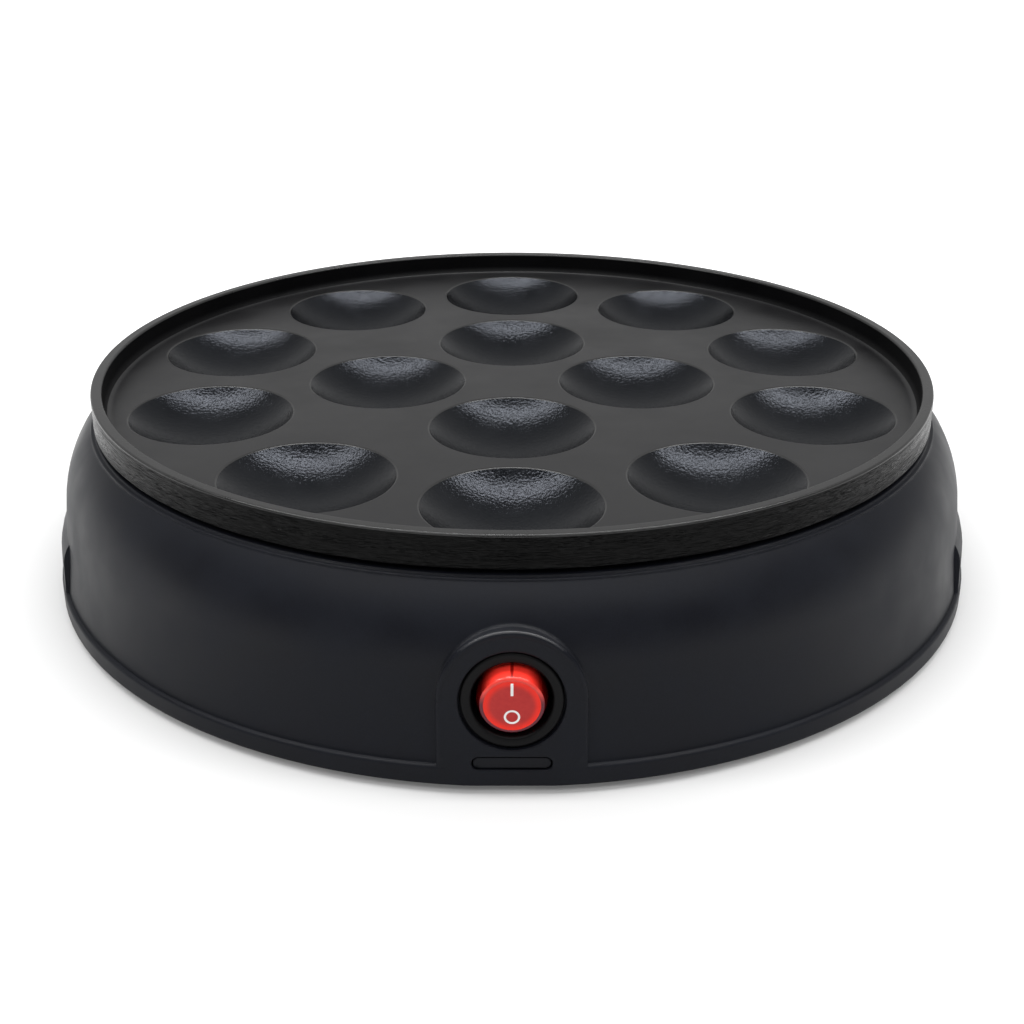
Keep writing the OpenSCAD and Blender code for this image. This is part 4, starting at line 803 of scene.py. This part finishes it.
# %% [markdown]
# ## Floor and light
# The photograph has a white ground with a soft shadow close to the housing. The floor is a large pale
# sheet. To the camera and in reflections it adds light of its own, a little beside the object and more with
# the distance, so that it runs out into plain white and the shadow still shows. The world is white to the
# camera. As a light it is a studio that is dim behind the camera: front walls stay dark, and the sides and
# the plate mirror the bright backdrop. A long narrow lamp hangs overhead and sparks in the far walls of the
# cups. A wide weak one further to the front lights the shoulder, and a small one that no reflection shows
# lifts the front wall.

# %% Stage
floor_material = bpy.data.materials.new("pale_paper_sweep")
floor_material.use_nodes = True
paper = floor_material.node_tree
paper_shader = paper.nodes["Principled BSDF"]
paper_shader.inputs["Base Color"].default_value = linear("#b4b4b4")
paper_shader.inputs["Roughness"].default_value = 0.9
paper_shader.inputs["Specular IOR Level"].default_value = 0.0
floor_rays = add_node(paper, "ShaderNodeLightPath").outputs
straight = add_node(paper, "ShaderNodeMath",
                    {0: floor_rays["Is Camera Ray"], 1: floor_rays["Is Transmission Ray"]},
                    operation="MAXIMUM")
seen = add_node(paper, "ShaderNodeMath", {0: floor_rays["Is Glossy Ray"], 1: straight.outputs[0]},
                operation="MAXIMUM")
# The shadow is a little shorter to the sides, so the distance counts for more there.
SIDEWAYS, GLOW_FROM, GLOW_FULL = (1.15, 1, 1), 0.127, 0.25
on_floor = add_node(paper, "ShaderNodeTexCoord").outputs["Object"]
widened = add_node(paper, "ShaderNodeVectorMath", {0: on_floor, 1: SIDEWAYS},
                   operation="MULTIPLY").outputs[0]
away = add_node(paper, "ShaderNodeVectorMath", {0: widened}, operation="LENGTH").outputs["Value"]
white = add_node(paper, "ShaderNodeMapRange", {"Value": away, "From Min": GLOW_FROM, "From Max": GLOW_FULL,
                                               "To Min": 0.1, "To Max": 1.0}).outputs[0]
lift = add_node(paper, "ShaderNodeMath", {0: seen.outputs[0], 1: white}, operation="MULTIPLY").outputs[0]
glow = add_node(paper, "ShaderNodeEmission", {"Color": (1, 1, 1, 1), "Strength": lift})
total = add_node(paper, "ShaderNodeAddShader", {0: paper_shader.outputs[0], 1: glow.outputs[0]})
paper.links.new(total.outputs[0], paper.nodes["Material Output"].inputs["Surface"])
sheet = bpy.data.meshes.new("floor")
sheet.from_pydata([(-6, -6, 0), (6, -6, 0), (6, 6, 0), (-6, 6, 0)], [], [(0, 1, 2, 3)])
sheet.materials.append(floor_material)
floor = bpy.data.objects.new("floor", sheet)
bpy.context.scene.collection.objects.link(floor)

world = bpy.data.worlds.new("white_studio")
bpy.context.scene.world = world
world.use_nodes = True
sky = world.node_tree
sky_rays = add_node(sky, "ShaderNodeLightPath").outputs
direct = add_node(sky, "ShaderNodeMath", {0: sky_rays["Is Camera Ray"], 1: sky_rays["Is Transmission Ray"]},
                  operation="MAXIMUM").outputs[0]
# The studio gives 0.35 of white as a light, and shows with 0.64 in reflections.
mirrored = add_node(sky, "ShaderNodeMapRange",
                    {"Value": sky_rays["Is Glossy Ray"], "To Min": 0.35, "To Max": 0.64})
way = add_node(sky, "ShaderNodeSeparateXYZ", {0: add_node(sky, "ShaderNodeTexCoord").outputs["Generated"]})
room = add_node(sky, "ShaderNodeMapRange", {"Value": way.outputs["Y"], "From Min": -0.35, "From Max": 0.3,
                                            "To Min": 0.15, "To Max": 1.0}, interpolation_type="SMOOTHSTEP")
studio = add_node(sky, "ShaderNodeMath", {0: mirrored.outputs[0], 1: room.outputs[0]}, operation="MULTIPLY")
level = add_node(sky, "ShaderNodeMath", {0: studio.outputs[0], 1: direct}, operation="MAXIMUM").outputs[0]
sky.links.new(level, sky.nodes["Background"].inputs["Strength"])
sky.nodes["Background"].inputs["Color"].default_value = (1, 1, 1, 1)


def softbox(name, at, look_at, size, watts):
    """A rectangular lamp of a size in metres, turned to look at a point."""
    data = bpy.data.lights.new(name, "AREA")
    data.shape = "RECTANGLE"
    data.size, data.size_y = size
    data.energy = watts
    lamp = bpy.data.objects.new(name, data)
    lamp.location = at
    lamp.rotation_euler = (Vector(look_at) - Vector(at)).to_track_quat("-Z", "Y").to_euler()
    bpy.context.scene.collection.objects.link(lamp)
    return lamp


softbox("overhead_strip", (0, -0.03, 1.1), (0, -0.03, 0), (2.2, 0.17), 22)
softbox("front_softbox", (0, -0.75, 0.95), (0, 0, 0), (2.4, 0.5), 11)
softbox("front_fill", (0, -1.0, 0.25), (0, -0.12, 0.025), (0.8, 0.3), 1.6).visible_glossy = False
bpy.context.scene.view_settings.view_transform = "Standard"
print("stage ready")
